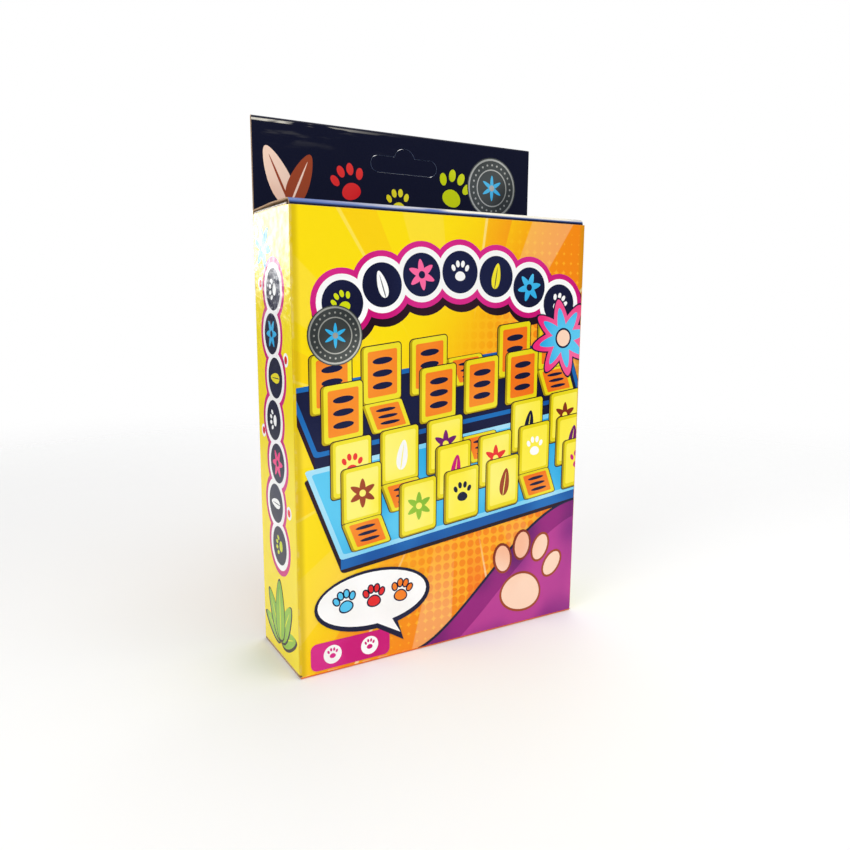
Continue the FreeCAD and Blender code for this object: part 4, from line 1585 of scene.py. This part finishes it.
def sprig(panel):
    """A green sprig at the foot of a side; its outer leaves are shorter."""
    for number, turn in enumerate(SPRIG_TURNS):
        length = SPRIG_LENGTH - abs(turn) * SPRIG_LOSS
        level = 1 + SPRIG_LAYERS * number
        line = petal(length + SPRIG_LINE[0], length * LEAF_WIDTH + SPRIG_LINE[1])
        stamp("shadow", panel, level, line, beside(SPRIG_FOOT, SPRIG_LINE_DROP), turn)
        leaf("green", "lime", panel, level + 1, SPRIG_FOOT, length, turn)


print(len(SPRIG_TURNS), "leaves on a sprig")

# %% [markdown]
# Over the sprig the garland's beads stand in a column that sways a little, with rings beside it and
# a blossom near the top.

# %% The sides
SIDE_STEP = 16.6
SIDE_START = 48.0
SIDE_SWAY = 1.5
SIDE_DISC = 7.8
SIDE_RIMS = (("magenta", 12.2), ("white", 10.0))
SIDE_BEAD_LAYER = 4
SIDE_RINGS = ((-14.0, 92.0), (13.5, 122.0), (-13.0, 150.0), (13.0, 64.0))
SIDE_RING = (("white", 2.6), ("red", 1.5))


def side_print(panel):
    """A side: a standing garland, rings, a sprig and a blossom."""
    for number in range(len(BEADS)):
        place = (SIDE_SWAY * (-1) ** number, SIDE_START + SIDE_STEP * number)
        for layer, (colour, size) in enumerate(SIDE_RIMS, 1):
            stamp(colour, panel, layer + HALF_LAYER * (number % 2), disc(size), place)
        bead(number, panel, SIDE_BEAD_LAYER, place, SIDE_DISC, turn=90)
    for place in SIDE_RINGS:
        for layer, (colour, size) in enumerate(SIDE_RING, 1):
            stamp(colour, panel, layer, disc(size), place)
    sprig(panel)
    blossom("sky", "pale", panel, layer=6, place=(-9.0, 164.0), size=9.0, turn=15)


side_print("left")
side_print("right")
print(len(BEADS), "beads on each side")

# %% [markdown]
# ### Header
#
# The navy header has paw prints in red, yellow and lime round the hang slot, two leaves at its left
# end and a badge at its right. Places are counted from its middle.

# %% The header
HEADER_MIDDLE = (0.0, (FRONT_TOP + TOP) / 2)
HEADER_BADGE = (46.0, 0.0)
HEADER_PAWS = (
    ("red", (-26.0, -4.0), 9.4, 18),
    ("lime", (25.0, -3.0), 10.4, -16),
    ("yellow", (-3.0, -10.0), 6.8, 6),
)
HEADER_STALK = (-52.0, -14.0)


def header_print():
    """Paw prints, two leaves and a badge on the navy header."""
    badge("header", 1, beside(HEADER_MIDDLE, HEADER_BADGE), size=13.5)
    for colour, offset, size, turn in HEADER_PAWS:
        paw(colour, "header", 1, beside(HEADER_MIDDLE, offset), size, turn)
    stalk = beside(HEADER_MIDDLE, HEADER_STALK)
    leaf("peach", "brown", "header", layer=1, place=stalk, length=24.0, turn=24)
    leaf("brown", "peach", "header", layer=3, place=stalk, length=22.0, turn=-24)


header_print()
print(len(inks), "inks in all")

# %% [markdown]
# ### Inks
#
# Each colour's prisms become one piece that rides on the carton. An ink has two tones that drift
# into each other, as a printed tint does, and it lies under the same film as the board.

# %% Inks
INK_COLOURS = {
    "navy": ((16, 20, 52), (24, 30, 66)),
    "white": ((252, 252, 252), (244, 244, 242)),
    "magenta": ((200, 14, 116), (212, 40, 134)),
    "pink": ((238, 40, 122), (246, 104, 158)),
    "sky": ((34, 168, 226), (92, 200, 240)),
    "deep": ((14, 84, 160), (30, 110, 184)),
    "yellow": ((230, 212, 14), (240, 226, 50)),
    "lemon": ((252, 236, 70), (252, 242, 120)),
    "olive": ((164, 142, 8), (188, 166, 20)),
    "lime": ((206, 216, 10), (224, 230, 40)),
    "orange": ((240, 112, 20), (246, 142, 44)),
    "red": ((222, 30, 36), (234, 58, 54)),
    "purple": ((96, 20, 104), (150, 34, 124)),
    "violet": ((124, 32, 124), (186, 62, 148)),
    "peach": ((246, 186, 152), (252, 216, 190)),
    "brown": ((126, 44, 24), (160, 70, 40)),
    "green": ((98, 164, 24), (150, 196, 60)),
    "silver": ((140, 142, 136), (196, 196, 188)),
    "grey": ((52, 56, 56), (84, 88, 86)),
    "shadow": ((30, 14, 26), (44, 22, 36)),
    "pale": ((120, 206, 240), (168, 224, 246)),
}
TONE_NOISE = (34.0, 1.0)
TONE_SPAN = (0.35, 0.65)


def paint_ink(name):
    """A printed tint under the carton's film."""
    paint = Paint("ink_" + name)
    base, tone = [rgb(*colour) for colour in INK_COLOURS[name]]
    cloud = paint.noise(*TONE_NOISE).rise(*TONE_SPAN)
    return laminate(paint, paint.mix(cloud, base, tone))


for name, prisms in inks.items():
    bmesh.ops.recalc_face_normals(prisms, faces=prisms.faces)
    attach(add_piece("print_" + name, prisms, paint_ink(name)), "carton")
bpy.data.meshes.remove(carrier)
print(len(inks), "printed colours")
